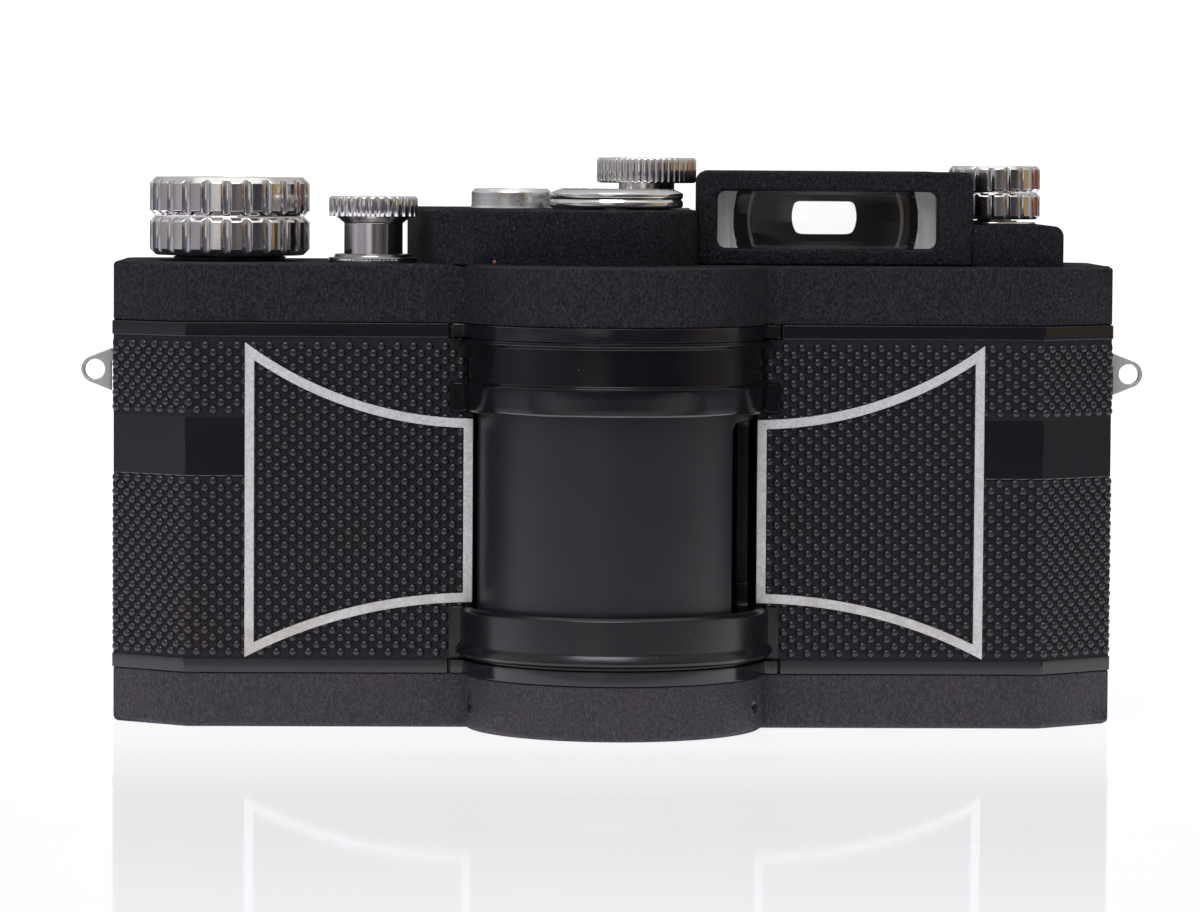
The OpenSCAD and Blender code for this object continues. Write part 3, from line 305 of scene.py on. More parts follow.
hide = {"pores": 0.14, "cloud": 11, "pit": (0.7, 0.67, 0.86), "top": (1.35, 1.3, 1.6), "faded": (1.6, 0.95, 1.15),
        "fadeRange": (0.5, 0.72), "depth": 0.03}


def leatherette(name, tone, roughness, specular):
    finish = Finish(name, specular=specular)
    pores = finish.noise(hide["pores"], 3, 0.6)
    cloud = finish.noise(hide["cloud"], 3, 0.55)
    paint = finish.blend(pores, tinted(tone, hide["pit"]), tinted(tone, hide["top"]))
    faded = finish.between(cloud, *hide["fadeRange"]) * 0.5
    finish.feed("colour", finish.blend(faded, paint, tinted(tone, hide["faded"])))
    finish.feed("roughness", roughness + pores * 0.10 + cloud * 0.05)
    finish.bump(pores, hide["depth"], 0.4)
    return finish.owner


plate = {"haze": 3.2, "scratch": 0.16, "scratchLength": 0.04, "scratchRange": (0.5, 0.75), "pits": (1.3, 0.10),
         "patch": 4, "patchRange": (0.48, 0.62), "dull": (0.62, 0.605, 0.585), "bright": (0.76, 0.75, 0.735),
         "pitHue": (0.20, 0.15, 0.09), "roughness": 0.07, "depth": 0.002}


def chromePlate():
    finish = Finish("chromePlate", metallic=1.0)
    haze = finish.noise(plate["haze"], 3, 0.6)
    scratch = finish.noise(plate["scratch"], 1, 0.5, 0.0, finish.stretched(1, 1, plate["scratchLength"]))
    pits = finish.spots(*plate["pits"]) * finish.between(finish.noise(plate["patch"], 2), *plate["patchRange"])
    tone = finish.blend(haze, plate["dull"], plate["bright"])
    finish.feed("colour", finish.blend(pits * 0.7, tone, plate["pitHue"]))
    scored = finish.between(scratch, *plate["scratchRange"])
    finish.feed("roughness", plate["roughness"] + haze * 0.06 + scored * 0.06 + pits * 0.3)
    finish.bump(scratch, plate["depth"], 0.25)
    return finish.owner


brushed = {"streaks": 0.22, "streakLength": 0.03, "stain": 2.6, "stainRange": (0.52, 0.66), "rust": 1.5,
           "rustRange": (0.63, 0.70), "dull": (0.52, 0.522, 0.53), "bright": (0.82, 0.822, 0.83),
           "stainHue": (0.42, 0.36, 0.16), "rustHue": (0.11, 0.07, 0.03), "roughness": 0.26, "depth": 0.008}


def brushedChrome():
    finish = Finish("brushedChrome", metallic=1.0)
    length = brushed["streakLength"]
    streaks = finish.noise(brushed["streaks"], 2, 0.6, 0.0, finish.stretched(length, length, 1))
    stain = finish.between(finish.noise(brushed["stain"], 3, 0.7), *brushed["stainRange"])
    rust = finish.between(finish.noise(brushed["rust"], 3, 0.7), *brushed["rustRange"])
    tone = finish.blend(streaks, brushed["dull"], brushed["bright"])
    tone = finish.blend(stain * 0.55, tone, brushed["stainHue"])
    finish.feed("colour", finish.blend(rust * 0.8, tone, brushed["rustHue"]))
    finish.feed("roughness", brushed["roughness"] + streaks * 0.12 + rust * 0.3)
    finish.bump(streaks - rust * 0.5, brushed["depth"], 0.6)
    return finish.owner


lathe = {"lines": 0.09, "lineLength": 0.02, "cloud": 3, "depth": 0.006}


def turnedMetal(name, dark, pale, roughness=0.24):
    finish = Finish(name, metallic=1.0)
    length = lathe["lineLength"]
    lines = finish.noise(lathe["lines"], 2, 0.6, 0.0, finish.stretched(length, length, 1))
    cloud = finish.noise(lathe["cloud"], 3, 0.6)
    finish.feed("colour", finish.blend(lines * 0.6 + cloud * 0.4, dark, pale))
    finish.feed("roughness", roughness + lines * 0.14)
    finish.bump(lines, lathe["depth"], 0.5)
    return finish.owner


strip = {"mottle": 0.45, "mottleRange": (0.3, 0.7), "pits": 0.34, "pitRange": (0.60, 0.70), "patch": 2.6,
         "patchRange": (0.42, 0.62), "tarnish": 5, "tarnishRange": (0.36, 0.56), "downwards": 6,
         "dull": (0.370, 0.375, 0.357), "bright": (0.510, 0.517, 0.490), "tarnishHue": (0.33, 0.285, 0.215),
         "pitHue": (0.17, 0.145, 0.12), "roughness": 0.46, "depth": 0.02}


def brightStrip():
    finish = Finish("brightStrip", metallic=0.1, specular=0.4)
    mottle = finish.noise(strip["mottle"], 4, 0.7)
    pits = finish.between(finish.noise(strip["pits"], 2), *strip["pitRange"])
    pits = pits * finish.between(finish.noise(strip["patch"], 2), *strip["patchRange"])
    fall = finish.axis("Z") * strip["downwards"]
    tarnish = finish.between(finish.noise(strip["tarnish"], 3, 0.6) - fall, *strip["tarnishRange"])
    tone = finish.blend(finish.between(mottle, *strip["mottleRange"]), strip["dull"], strip["bright"])
    tone = finish.blend(tarnish * 0.5, tone, strip["tarnishHue"])
    finish.feed("colour", finish.blend(pits * 0.75, tone, strip["pitHue"]))
    finish.feed("roughness", strip["roughness"] + mottle * 0.14 + pits * 0.2)
    finish.bump(mottle - pits * 0.6, strip["depth"], 0.5)
    return finish.owner


def clearGlass(name, tint=(0.995, 1.0, 0.995)):
    return Finish(name, colour=tint, roughness=0.0, clear=1.0, ior=1.52).owner


ground = {"grain": 0.5, "grainLength": 0.05, "dark": (0.40, 0.385, 0.36), "pale": (0.90, 0.88, 0.85)}


def groundGlass():
    finish = Finish("groundGlass", roughness=0.6, specular=0.3)
    grain = finish.noise(ground["grain"], 2, 0.6, 0.0, finish.stretched(1, 1, ground["grainLength"]))
    finish.feed("colour", finish.blend(grain, ground["dark"], ground["pale"]))
    return finish.owner


plastic = {"grain": 0.4, "dark": (0.010, 0.010, 0.011), "pale": (0.017, 0.017, 0.018), "roughness": 0.38}


def blackPlastic():
    finish = Finish("blackPlastic", specular=0.45)
    grain = finish.noise(plastic["grain"], 2)
    finish.feed("colour", finish.blend(grain, plastic["dark"], plastic["pale"]))
    finish.feed("roughness", plastic["roughness"] + grain * 0.1)
    return finish.owner


finishes = {
    "crackle_black": crackleEnamel("crackleEnamel", 0.0068, 0.21, 1.1),
    "satin_black": satinEnamel("satinEnamel", 0.0030, 0.15, 0.5),
    "matt_black": mattBlack(),
    "leatherette": leatherette("leatherSkin", 0.0078, 0.55, 0.18),
    "chrome": chromePlate(),
    "bright_trim": brightStrip(),
    "steel": turnedMetal("turnedSteel", (0.40, 0.40, 0.40), (0.62, 0.61, 0.60)),
    "brass": turnedMetal("turnedBrass", (0.42, 0.29, 0.11), (0.66, 0.49, 0.22)),
    "bronze": turnedMetal("oiledBronze", (0.26, 0.15, 0.07), (0.42, 0.27, 0.13), 0.32),
    "black_plastic": blackPlastic(),
    "optical_glass": clearGlass("opticalGlass"),
    "level_liquid": clearGlass("levelLiquid", (0.72, 0.78, 0.30)),
}
drumEnamel = satinEnamel("drumEnamel", 0.0060, 0.36, 0.40)
ringEnamel = satinEnamel("ringEnamel", 0.0028, 0.24, 0.42)
upperEnamel = satinEnamel("upperEnamel", 0.0022, 0.16, 0.30)
rimEnamel = satinEnamel("rimEnamel", 0.0030, 0.12, 0.8)
# A lighter copy of the crackle enamel for the base cover: painted light, standing in for the glow of the white table
# below
paintedLitBaseCrackle = crackleEnamel("paintedLitBaseCrackle", 0.0168, 0.36, 0.6)
shadeCrackle = crackleEnamel("shadeCrackle", 0.0066, 0.15)
grainLeather = leatherette("grainLeather", 0.0070, 0.20, 0.46)
cupChrome = brushedChrome()
lugSteel = turnedMetal("lugSteel", (0.40, 0.395, 0.39), (0.60, 0.595, 0.59), 0.36)
# Darker metal for the chrome release flange: painted shade, standing in for its dark reflections
paintedShadeFlangeSteel = turnedMetal("paintedShadeFlangeSteel", (0.20, 0.195, 0.19), (0.32, 0.31, 0.30), 0.16)
screwSteel = turnedMetal("screwSteel", (0.06, 0.058, 0.058), (0.11, 0.105, 0.10), 0.30)
# Darkened steel for the wind bush: painted shade for the narrow gap under the wind knob
paintedShadeBushSteel = turnedMetal("paintedShadeBushSteel", (0.035, 0.034, 0.036), (0.06, 0.058, 0.06), 0.4)
for node, piece in nodes.items():
    dress(piece, finishes[slotOf[node]])
print("finishes:", len(bpy.data.materials))


# Camera and studio

view = {"place": (-23.14, -728.19, 82.76), "yaw": 0.0289, "pitch": 0.0598, "roll": -0.0064,
        "focalPx": 5051.85, "imageWidth": 1200, "imageHeight": 912, "sensor": 36}


def cameraAxes():
    yaw, pitch, roll = view["yaw"], view["pitch"], view["roll"]
    look = Vector((math.sin(yaw) * math.cos(pitch), math.cos(yaw) * math.cos(pitch), -math.sin(pitch)))
    flat = Vector((math.cos(yaw), -math.sin(yaw), 0))
    upright = flat.cross(look)
    right = math.cos(roll) * flat - math.sin(roll) * upright
    up = math.sin(roll) * flat + math.cos(roll) * upright
    return right, up, look


def addCamera():
    right, up, look = cameraAxes()
    turn = Matrix((right, up, -look)).transposed()
    bpy.ops.object.camera_add(location=Vector(view["place"]) * mm, rotation=turn.to_euler())
    camera = bpy.context.object
    camera.data.sensor_width = view["sensor"]
    camera.data.lens = view["sensor"] * view["focalPx"] / view["imageWidth"]
    scene.camera = camera


lampHue = (1.0, 0.975, 1.07)
lamps = {  # place and aim in metres, side lengths, brightness as seen from the object, whether polish mirrors it
    "keyLamp": ((-0.12, -0.55, 0.75), (0.0, 0.0, 0.04), (0.55, 0.36), 6.3, True),
    "backLamp": ((0.05, 0.45, 0.80), (0.0, 0.0, 0.06), (0.70, 0.35), 2.2, False),
    "leftLamp": ((-0.52, -0.19, 0.66), (0.0, 0.0, 0.03), (0.30, 0.36), 6.5, False),
    "rightLamp": ((0.52, -0.19, 0.66), (0.0, 0.0, 0.03), (0.30, 0.36), 4.0, False),
}


def addLamps():
    for name, (place, aim, sides, brightness, mirrored) in lamps.items():
        toAim = Vector(aim) - Vector(place)
        bpy.ops.object.light_add(type="AREA", location=place, rotation=toAim.to_track_quat("-Z", "Y").to_euler())
        lamp = bpy.context.object
        lamp.name = name
        lamp.visible_glossy = mirrored
        lamp.data.shape = "RECTANGLE"
        lamp.data.size, lamp.data.size_y = sides
        lamp.data.energy = brightness * math.pi * sides[0] * sides[1]
        lamp.data.color = lampHue


room = {  # what polished metal sees round the camera, by bearing in degrees from straight ahead, + to the right
    "bands": [(-180, 1.0, 1.0, 1.0), (-167, 0.60, 0.60, 0.61), (-152, 0.15, 0.15, 0.16), (-136, 0.24, 0.23, 0.24),
              (-105, 0.37, 0.36, 0.36), (-90, 0.24, 0.23, 0.25), (-75, 0.46, 0.45, 0.45), (-60, 0.28, 0.27, 0.29),
              (-45, 0.40, 0.38, 0.42), (-30, 0.36, 0.35, 0.37), (-22, 0.78, 0.78, 0.77), (-10, 0.78, 0.77, 0.76),
              (-5, 0.26, 0.24, 0.24), (1, 0.10, 0.09, 0.095), (8, 0.11, 0.095, 0.10), (16, 0.23, 0.185, 0.18),
              (28, 0.11, 0.095, 0.10), (40, 0.042, 0.042, 0.056), (50, 0.05, 0.05, 0.06), (62, 0.26, 0.18, 0.07),
              (75, 0.50, 0.34, 0.11), (85, 0.34, 0.25, 0.12), (96, 0.50, 0.49, 0.47), (107, 0.42, 0.36, 0.30),
              (115, 0.48, 0.07, 0.04), (123, 0.30, 0.05, 0.03), (132, 0.10, 0.08, 0.06), (148, 0.30, 0.29, 0.28),
              (164, 0.75, 0.75, 0.75), (180, 1.0, 1.0, 1.0)],
    "upper": [(-180, 0.40), (-135, 0.45), (-105, 1.15), (-70, 1.15), (-45, 0.45), (0, 0.40), (45, 0.42), (70, 0.80),
              (105, 0.80), (135, 0.45), (180, 0.40)],
    "lower": [(-180, 0.05), (-140, 0.10), (-100, 0.30), (-69, 0.64), (-40, 0.26), (-12, 0.13), (8, 0.12), (40, 0.08),
              (69, 0.32), (100, 0.30), (140, 0.10), (180, 0.05)],
    "lowerHue": (1, 0.96, 1.14), "lowerFall": (0.026, 0.042), "upperRise": (0.12, 0.20),  # heights as the sine
    "ceiling": 0.64, "ceilingRise": (0.25, 0.62), "zenith": 1.35, "zenithRise": (0.80, 0.93),
    "below": 0.05, "belowFall": (-0.01, 0.03), "belowBack": (0.5, 0.8), "back": (0.0, 0.1),
    "fill": 0.34, "fillHue": (1, 0.96, 1.18), "backdrop": 1.12,
}


def addRoom():
    world = bpy.data.worlds.new("studio")
    scene.world = world
    tree = Tree(world)
    towards = tree.add("TexCoord", output="Generated")
    x, y, z = [tree.add("SeparateXYZ", {}, {0: towards}, letter) for letter in "XYZ"]
    bearing = tree.add("Math", {"operation": "ARCTAN2"}, {0: x, 1: 0 - y}) / (2 * math.pi) + 0.5

    def allRound(stops):  # colours by bearing
        return tree.add("ValToRGB", {"stops": [(at / 360 + 0.5, colour) for at, colour in stops]}, {0: bearing})

    bands = allRound([(at, colour) for at, *colour in room["bands"]])
    upper = allRound([(at, (grey,) * 3) for at, grey in room["upper"]])
    lower = allRound([(at, tinted(grey, room["lowerHue"])) for at, grey in room["lower"]])
    seen = tree.blend(tree.between(z, *room["upperRise"]), bands, upper)
    seen = tree.blend(tree.between(z, *room["ceilingRise"]), seen, (room["ceiling"],) * 3)
    seen = tree.blend(tree.between(z, *room["zenithRise"]), seen, (room["zenith"],) * 3)
    seen = tree.blend(tree.between(0 - z, *room["lowerFall"]), seen, lower)
    sunk = tree.between(0 - z, *room["belowFall"]) * tree.between(y, *room["belowBack"])
    seen = tree.blend(sunk, seen, (room["below"],) * 3)
    rays = {name: tree.add("LightPath", output=name) for name in
            ("Is Camera Ray", "Is Glossy Ray", "Is Transmission Ray")}
    behind = rays["Is Transmission Ray"] * tree.between(y, *room["back"])
    backdrop = rays["Is Camera Ray"].most(behind)
    mirrored = rays["Is Glossy Ray"].most(rays["Is Transmission Ray"])
    seen = tree.blend(mirrored, tinted(room["fill"], room["fillHue"]), seen)
    colour = tree.blend(backdrop, seen, (room["backdrop"],) * 3)
    tree.put(tree.nodes["Background"], "Color", colour)


floorLook = {  # the table's edges in metres; its gloss, and its light in polish, by distance in front of the drum axis
    "near": -0.215, "far": 0.40, "side": 0.26, "sink": 0.02, "glow": 1.075, "glowHue": (0.985, 0.987, 1),
    "shade": 0.12, "lit": 0.85, "paint": (0.86, 0.86, 0.86), "shine": (0.965, 0.965, 1), "roughness": 0.05,
    "gloss": [(0.0, 0.08), (0.10, 0.10), (0.20, 0.16), (0.42, 0.245), (0.57, 0.25), (0.80, 0.21), (0.95, 0.18)],
    "seen": [(0.0, 1.0), (0.38, 1.0), (0.50, 0.12), (0.58, 0.14), (0.70, 0.75), (1.0, 0.95)],
    "reach": 0.2,
}


def addFloor():
    bpy.ops.mesh.primitive_plane_add(size=1)
    floor = bpy.context.object
    floor.name = "floor"
    near, far, side = floorLook["near"], floorLook["far"], floorLook["side"]
    bpy.ops.object.mode_set(mode="EDIT")
    bpy.ops.transform.resize(value=(2 * side, far - near, 1))
    bpy.ops.transform.translate(value=(0, (far + near) / 2, -floorLook["sink"] * mm))
    bpy.ops.object.mode_set(mode="OBJECT")
    tree = Tree(bpy.data.materials.new("whiteAcrylic"))
    glow = tree.add("Emission", {}, {"Color": (*floorLook["glowHue"], 1), "Strength": floorLook["glow"]})
    flat = tree.add("BsdfDiffuse", {}, {"Color": (*floorLook["paint"], 1)})
    shine = tree.add("BsdfGlossy", {}, {"Color": (*floorLook["shine"], 1), "Roughness": floorLook["roughness"]})
    place = tree.add("SeparateXYZ", {}, {0: tree.add("TexCoord", output="Object")}, "Y")

    def byDistance(stops):
        greys = [(at, (share,) * 3) for at, share in stops]
        return tree.add("ValToRGB", {"stops": greys}, {0: place / -floorLook["reach"]})

    camera = tree.add("LightPath", output="Is Camera Ray")
    lit = tree.add("Emission", {}, {"Color": (1, 1, 1, 1), "Strength": floorLook["lit"]})
    table = tree.add("AddShader", {}, {0: flat, 1: tree.add("MixShader", {}, {0: camera, 1: lit})})
    hidden = tree.add("LightPath", output="Is Glossy Ray") * (1 - byDistance(floorLook["seen"]))
    table = tree.add("MixShader", {}, {0: hidden, 1: table})
    body = tree.add("MixShader", {}, {0: camera * (1 - floorLook["shade"]), 1: table, 2: glow})
    gloss = byDistance(floorLook["gloss"])
    surface = tree.add("MixShader", {}, {0: gloss, 1: body, 2: shine})
    tree.put(tree.nodes["Material Output"], "Surface", surface)
    dress(floor, tree.owner)


scene.view_settings.view_transform = "Standard"
addCamera()
addLamps()
addRoom()
addFloor()
print("studio: camera,", len(lamps), "lamps, room and floor")


# Covers, platform and finder housing: pressed shells with rounded edges

# Widths in mm, the reach round holes whose rims stay sharp, and the angle in degrees under which faces blend
coverEdges = {"rim": 0.55, "lip": 0.25, "foot": 0.8, "hole": 0.6, "stem": 3, "angle": 50,
              "screwX": 60, "screwY": (7, 24), "screw": 4, "bush": 7}


def level(height, slack=0.02):
    return lambda a, b: abs(a.z - height) < slack * mm and abs(b.z - height) < slack * mm


def deep(place, slack=0.02):
    return lambda a, b: abs(a.y - place) < slack * mm and abs(b.y - place) < slack * mm


def clearOf(test, holes):  # leaves out the rims of holes, given as x, y and a reach in metres
    def outside(a, b):
        middle = (a + b) / 2
        return test(a, b) and all(math.hypot(middle.x - x, middle.y - y) > reach for x, y, reach in holes)
    return outside


def holesFor(*names):  # the aperture stem's hole at the drum axis, and those of the pieces named
    found = [(0, 0, coverEdges["stem"] * mm)]
    for name in names:
        low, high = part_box(name)
        centre = (low + high) / 2
        found.append((centre.x, centre.y, (high.x - low.x) / 2 + coverEdges["hole"] * mm))
    return found


def makeCovers():
    topLow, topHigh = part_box("top_cover")
    top = copyOf("top_cover", "topCover")
    holes = holesFor("wind_bush", "rewind_bush", "release_base", "speed_knob")
    roundEdges(top, clearOf(level(topHigh.z), holes), coverEdges["rim"] * mm, segments=5)
    roundEdges(top, level(topLow.z), coverEdges["lip"] * mm, segments=2)
    baseLow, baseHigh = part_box("base_cover")
    base = copyOf("base_cover", "baseCover")
    screws = [(side * coverEdges["screwX"] * mm, y * mm, coverEdges["screw"] * mm)
              for side in (-1, 1) for y in coverEdges["screwY"]]
    holes = screws + [(0, 0, coverEdges["bush"] * mm)]
    roundEdges(base, clearOf(level(baseLow.z), holes), coverEdges["foot"] * mm, segments=4)
    roundEdges(base, level(baseHigh.z), coverEdges["lip"] * mm, segments=2)
    for spot in base.data.vertices:  # no rounded corner stands out past the pressing
        spot.co = [min(max(at, low), high) for at, low, high in zip(spot.co, baseLow, baseHigh)]
    for piece in (top, base):
        smooth(piece, coverEdges["angle"])
    # the base cover wears the lighter crackle, with painted light from the table
    dress(base, paintedLitBaseCrackle)


makeCovers()
print("covers rounded")

platformEdges = {"rim": 0.55, "angle": 50}


def makePlatform():
    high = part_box("dial_platform")[1]
    piece = copyOf("dial_platform", "dialPlatform")
    roundEdges(piece, clearOf(level(high.z), holesFor("speed_knob")), platformEdges["rim"] * mm, segments=4)
    return dress(smooth(piece, platformEdges["angle"]), shadeCrackle)


makePlatform()

housingEdges = {"front": 0.42, "rear": 0.35, "angle": 50, "tunnelSlack": 0.3, "tunnelEnds": 0.6}


def makeFinderHousing():
    low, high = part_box("finder_housing")
    piece = copyOf("finder_housing", "finderHousing")
    roundEdges(piece, deep(low.y), housingEdges["front"] * mm, segments=3)
    roundEdges(piece, deep(high.y), housingEdges["rear"] * mm, segments=3)
    dress(piece, shadeCrackle).data.materials.append(finishes["matt_black"])
    lensLow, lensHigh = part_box("finder_front_lens")
    slack, ends = housingEdges["tunnelSlack"] * mm, housingEdges["tunnelEnds"] * mm
    for face in piece.data.polygons:  # the tunnel behind the lens is matt
        inside = [lensLow[k] - slack < face.center[k] < lensHigh[k] + slack for k in (0, 2)]
        if all(inside) and low.y + ends < face.center.y < high.y - ends:
            face.material_index = 1
    return smooth(piece, housingEdges["angle"])


makeFinderHousing()

finderLens = {"rearSlack": 0.02, "angle": 20}


def makeFinderLens():
    low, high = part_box("finder_front_lens")
    piece = smooth(copyOf("finder_front_lens", "finderFrontLens"), finderLens["angle"])
    piece.data.materials.append(groundGlass())
    for face in piece.data.polygons:
        if high.y - face.center.y < finderLens["rearSlack"] * mm:
            face.material_index = 1
    return piece


makeFinderLens()

finderMask = {"x": 31.45, "z": 73.75, "round": 5.95, "half": 3.13, "sharp": 40 / 3, "outline": 8, "points": 96,
              "leastRise": 0.01, "angle": 30}


# A plate with the outline of the round eyepiece, cut off above and below
def makeFinderMask():
    low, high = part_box("finder_mask")
    middle = (low + high) / 2
    spots, faces = [], []
    count, power, sharp = finderMask["points"], finderMask["outline"], finderMask["sharp"]
    for k in range(count):
        t = math.tau * (k + 0.5) / count
        across, up = math.cos(t), math.sin(t)
        square = (abs(across) ** power + abs(up) ** power) ** (1 / power)
        outer = (middle.x + across / square * (high.x - low.x) / 2, middle.z + up / square * (high.z - low.z) / 2)
        cut = finderMask["half"] / max(abs(up), finderMask["leastRise"])
        reach = (finderMask["round"] ** -sharp + cut ** -sharp) ** (-1 / sharp)
        inner = ((finderMask["x"] + across * reach) * mm, (finderMask["z"] + up * reach) * mm)
        spots.extend([(outer[0], low.y, outer[1]), (inner[0], low.y, inner[1]),
                      (inner[0], high.y, inner[1]), (outer[0], high.y, outer[1])])
        here, after = 4 * k, 4 * ((k + 1) % count)
        faces.extend((here + a, here + b, after + b, after + a) for a, b in ((0, 1), (1, 2), (2, 3), (3, 0)))
    mesh = bpy.data.meshes.new("finderMask")
    mesh.from_pydata(spots, [], faces)
    piece = bpy.data.objects.new("finderMask", mesh)
    scene.collection.objects.link(piece)
    pick(piece)
    bpy.ops.object.mode_set(mode="EDIT")
    bpy.ops.mesh.select_all(action="SELECT")
    bpy.ops.mesh.normals_make_consistent(inside=False)
    bpy.ops.object.mode_set(mode="OBJECT")
    dress(smooth(piece, finderMask["angle"]), finishes["matt_black"])
    return seat(piece, bodyOf["finder_mask"], slotOf["finder_mask"], "finder_mask")


makeFinderMask()
print("top housings rounded")


# Casting, bands, surrounds and trim

# Cuts a block, with rounded edges, placed and then turned about z
def cutBlock(piece, size, place, turn=0.0, rounding=0.0):
    bpy.ops.mesh.primitive_cube_add(size=1)
    cutter = bpy.context.object
    cutter.data.transform(Matrix.Diagonal((*(Vector(size) * mm), 1)))
    if rounding:
        easeEdges(cutter, rounding * mm, segments=6)
    cutter.data.transform(Matrix.Rotation(math.radians(turn), 4, "Z") @ Matrix.Translation(Vector(place) * mm))
    cut = piece.modifiers.new("cut", "BOOLEAN")
    cut.operation = "DIFFERENCE"
    cut.object = cutter
    applyAll(piece)
    bpy.data.objects.remove(cutter)
    return piece


drumWindow = {"size": (10, 15.3, 28.0), "place": (17, -0.77, 30.6), "turn": -9.5, "rounding": 1.5}
rims = {"ring": 0.4, "ringR": 21.9, "slack": 0.1, "band": 0.3, "tilt": (-0.98, -0.12)}


# The photograph's window runs down behind the lower surround and starts a little nearer the front
def openWindow(piece):
    cutBlock(piece, drumWindow["size"], drumWindow["place"], drumWindow["turn"], drumWindow["rounding"])


# A rounded lower edge that catches the light of the table
def brightRim(piece, test, width):
    lowest = min(v.co.z for v in piece.data.vertices)
    roundEdges(piece, test, width * mm, segments=4)
    piece.data.materials.append(rimEnamel)
    under, upright = rims["tilt"]
    for face in piece.data.polygons:
        if face.center.z < lowest + width * mm and under < face.normal.z < upright:
            face.material_index = 1


def roundRing(piece):
    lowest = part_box("upper_surround")[0].z

    def onRim(a, b):
        return level(lowest)(a, b) and all(abs(p.xy.length / mm - rims["ringR"]) < rims["slack"] for p in (a, b))

    brightRim(piece, onRim, rims["ring"])


def roundBand(piece):
    brightRim(piece, level(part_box("side_bands")[0].z), rims["band"])


eased = {"body_casting": ("bodyCasting", 0.20), "side_bands": ("sideBands", 0.04),
         "upper_surround": ("upperSurround", 0.14), "lower_surround": ("lowerSurround", 0.14),
         "left_trim": ("leftTrim", 0.12), "right_trim": ("rightTrim", 0.12),
         "strap_lug_left": ("strapLugLeft", 0.16), "strap_lug_right": ("strapLugRight", 0.16),
         "eyepiece_frame": ("eyepieceFrame", 0.25), "level_cup": ("levelCup", 0.12),
         "wind_bush": ("windBush", 0.1), "rewind_bush": ("rewindBush", 0.1), "release_base": ("releaseBase", 0.1),
         "wind_knob": ("windKnob", 0.07), "rewind_knob": ("rewindKnob", 0.05),
         "release_collar": ("releaseCollar", 0.05), "release_button": ("releaseButton", 0.1),
         "aperture_disc": ("apertureDisc", 0.10), "speed_knob": ("speedKnob", 0.04),
         "drum_shell": ("drumShell", 0.12), "back_door": ("backDoor", 0.2), "door_latch": ("doorLatch", 0.1),
         "hinge_knuckles": ("hingeKnuckles", 0.15)}
firstCuts = {"drum_shell": openWindow, "upper_surround": roundRing, "side_bands": roundBand}
made = {}
for node, (name, width) in eased.items():
    piece = copyOf(node, name)
    if node in firstCuts:
        firstCuts[node](piece)
    made[node] = smooth(easeEdges(piece, width * mm))
# The wind bush wears the darkened steel, painted shade under its knob
ownFinishes = {"drum_shell": drumEnamel, "upper_surround": upperEnamel, "lower_surround": ringEnamel,
               "strap_lug_left": lugSteel, "strap_lug_right": lugSteel, "wind_bush": paintedShadeBushSteel,
               "level_cup": cupChrome, "body_casting": finishes["satin_black"]}
for node, finish in ownFinishes.items():
    made[node].data.materials[0] = finish
print("eased pieces:", len(made))

spring = smooth(copyOf("release_spring", "releaseSpring"))
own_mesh(spring)
print("release spring follows its button")


# Leatherette: rows of domes, each column half a step off its neighbour, with a small bead between

grain = {"across": 2.27, "up": 2.05, "dome": {"radius": 0.66, "height": 0.44, "sides": 12, "rings": 3},
         "bead": {"radius": 0.22, "height": 0.12, "sides": 6, "rings": 2}, "inside": 0.34, "beadInside": 0.11,
         "onSkin": 0.03, "rim": 6, "endHeight": 0.35, "cornerStep": 0.88, "firstRow": -0.11, "firstBackRow": 1.0}


def makeDome(radius, height, sides, rings):
    bpy.ops.mesh.primitive_uv_sphere_add(segments=sides, ring_count=rings * 2, radius=radius * mm)
    dome = bpy.context.object
    bpy.ops.object.mode_set(mode="EDIT")
    bpy.ops.mesh.select_all(action="SELECT")
    bpy.ops.mesh.bisect(plane_co=(0, 0, 0), plane_no=(0, 0, 1), clear_inner=True)
    bpy.ops.mesh.select_all(action="SELECT")
    bpy.ops.transform.resize(value=(1, 1, height / radius), center_override=(0, 0, 0))
    bpy.ops.object.mode_set(mode="OBJECT")
    spots = [tuple(v.co) for v in dome.data.vertices]
    faces = [tuple(f.vertices) for f in dome.data.polygons]
    bpy.data.objects.remove(dome)
    return spots, faces


domeShape = makeDome(**grain["dome"])
beadShape = makeDome(**grain["bead"])


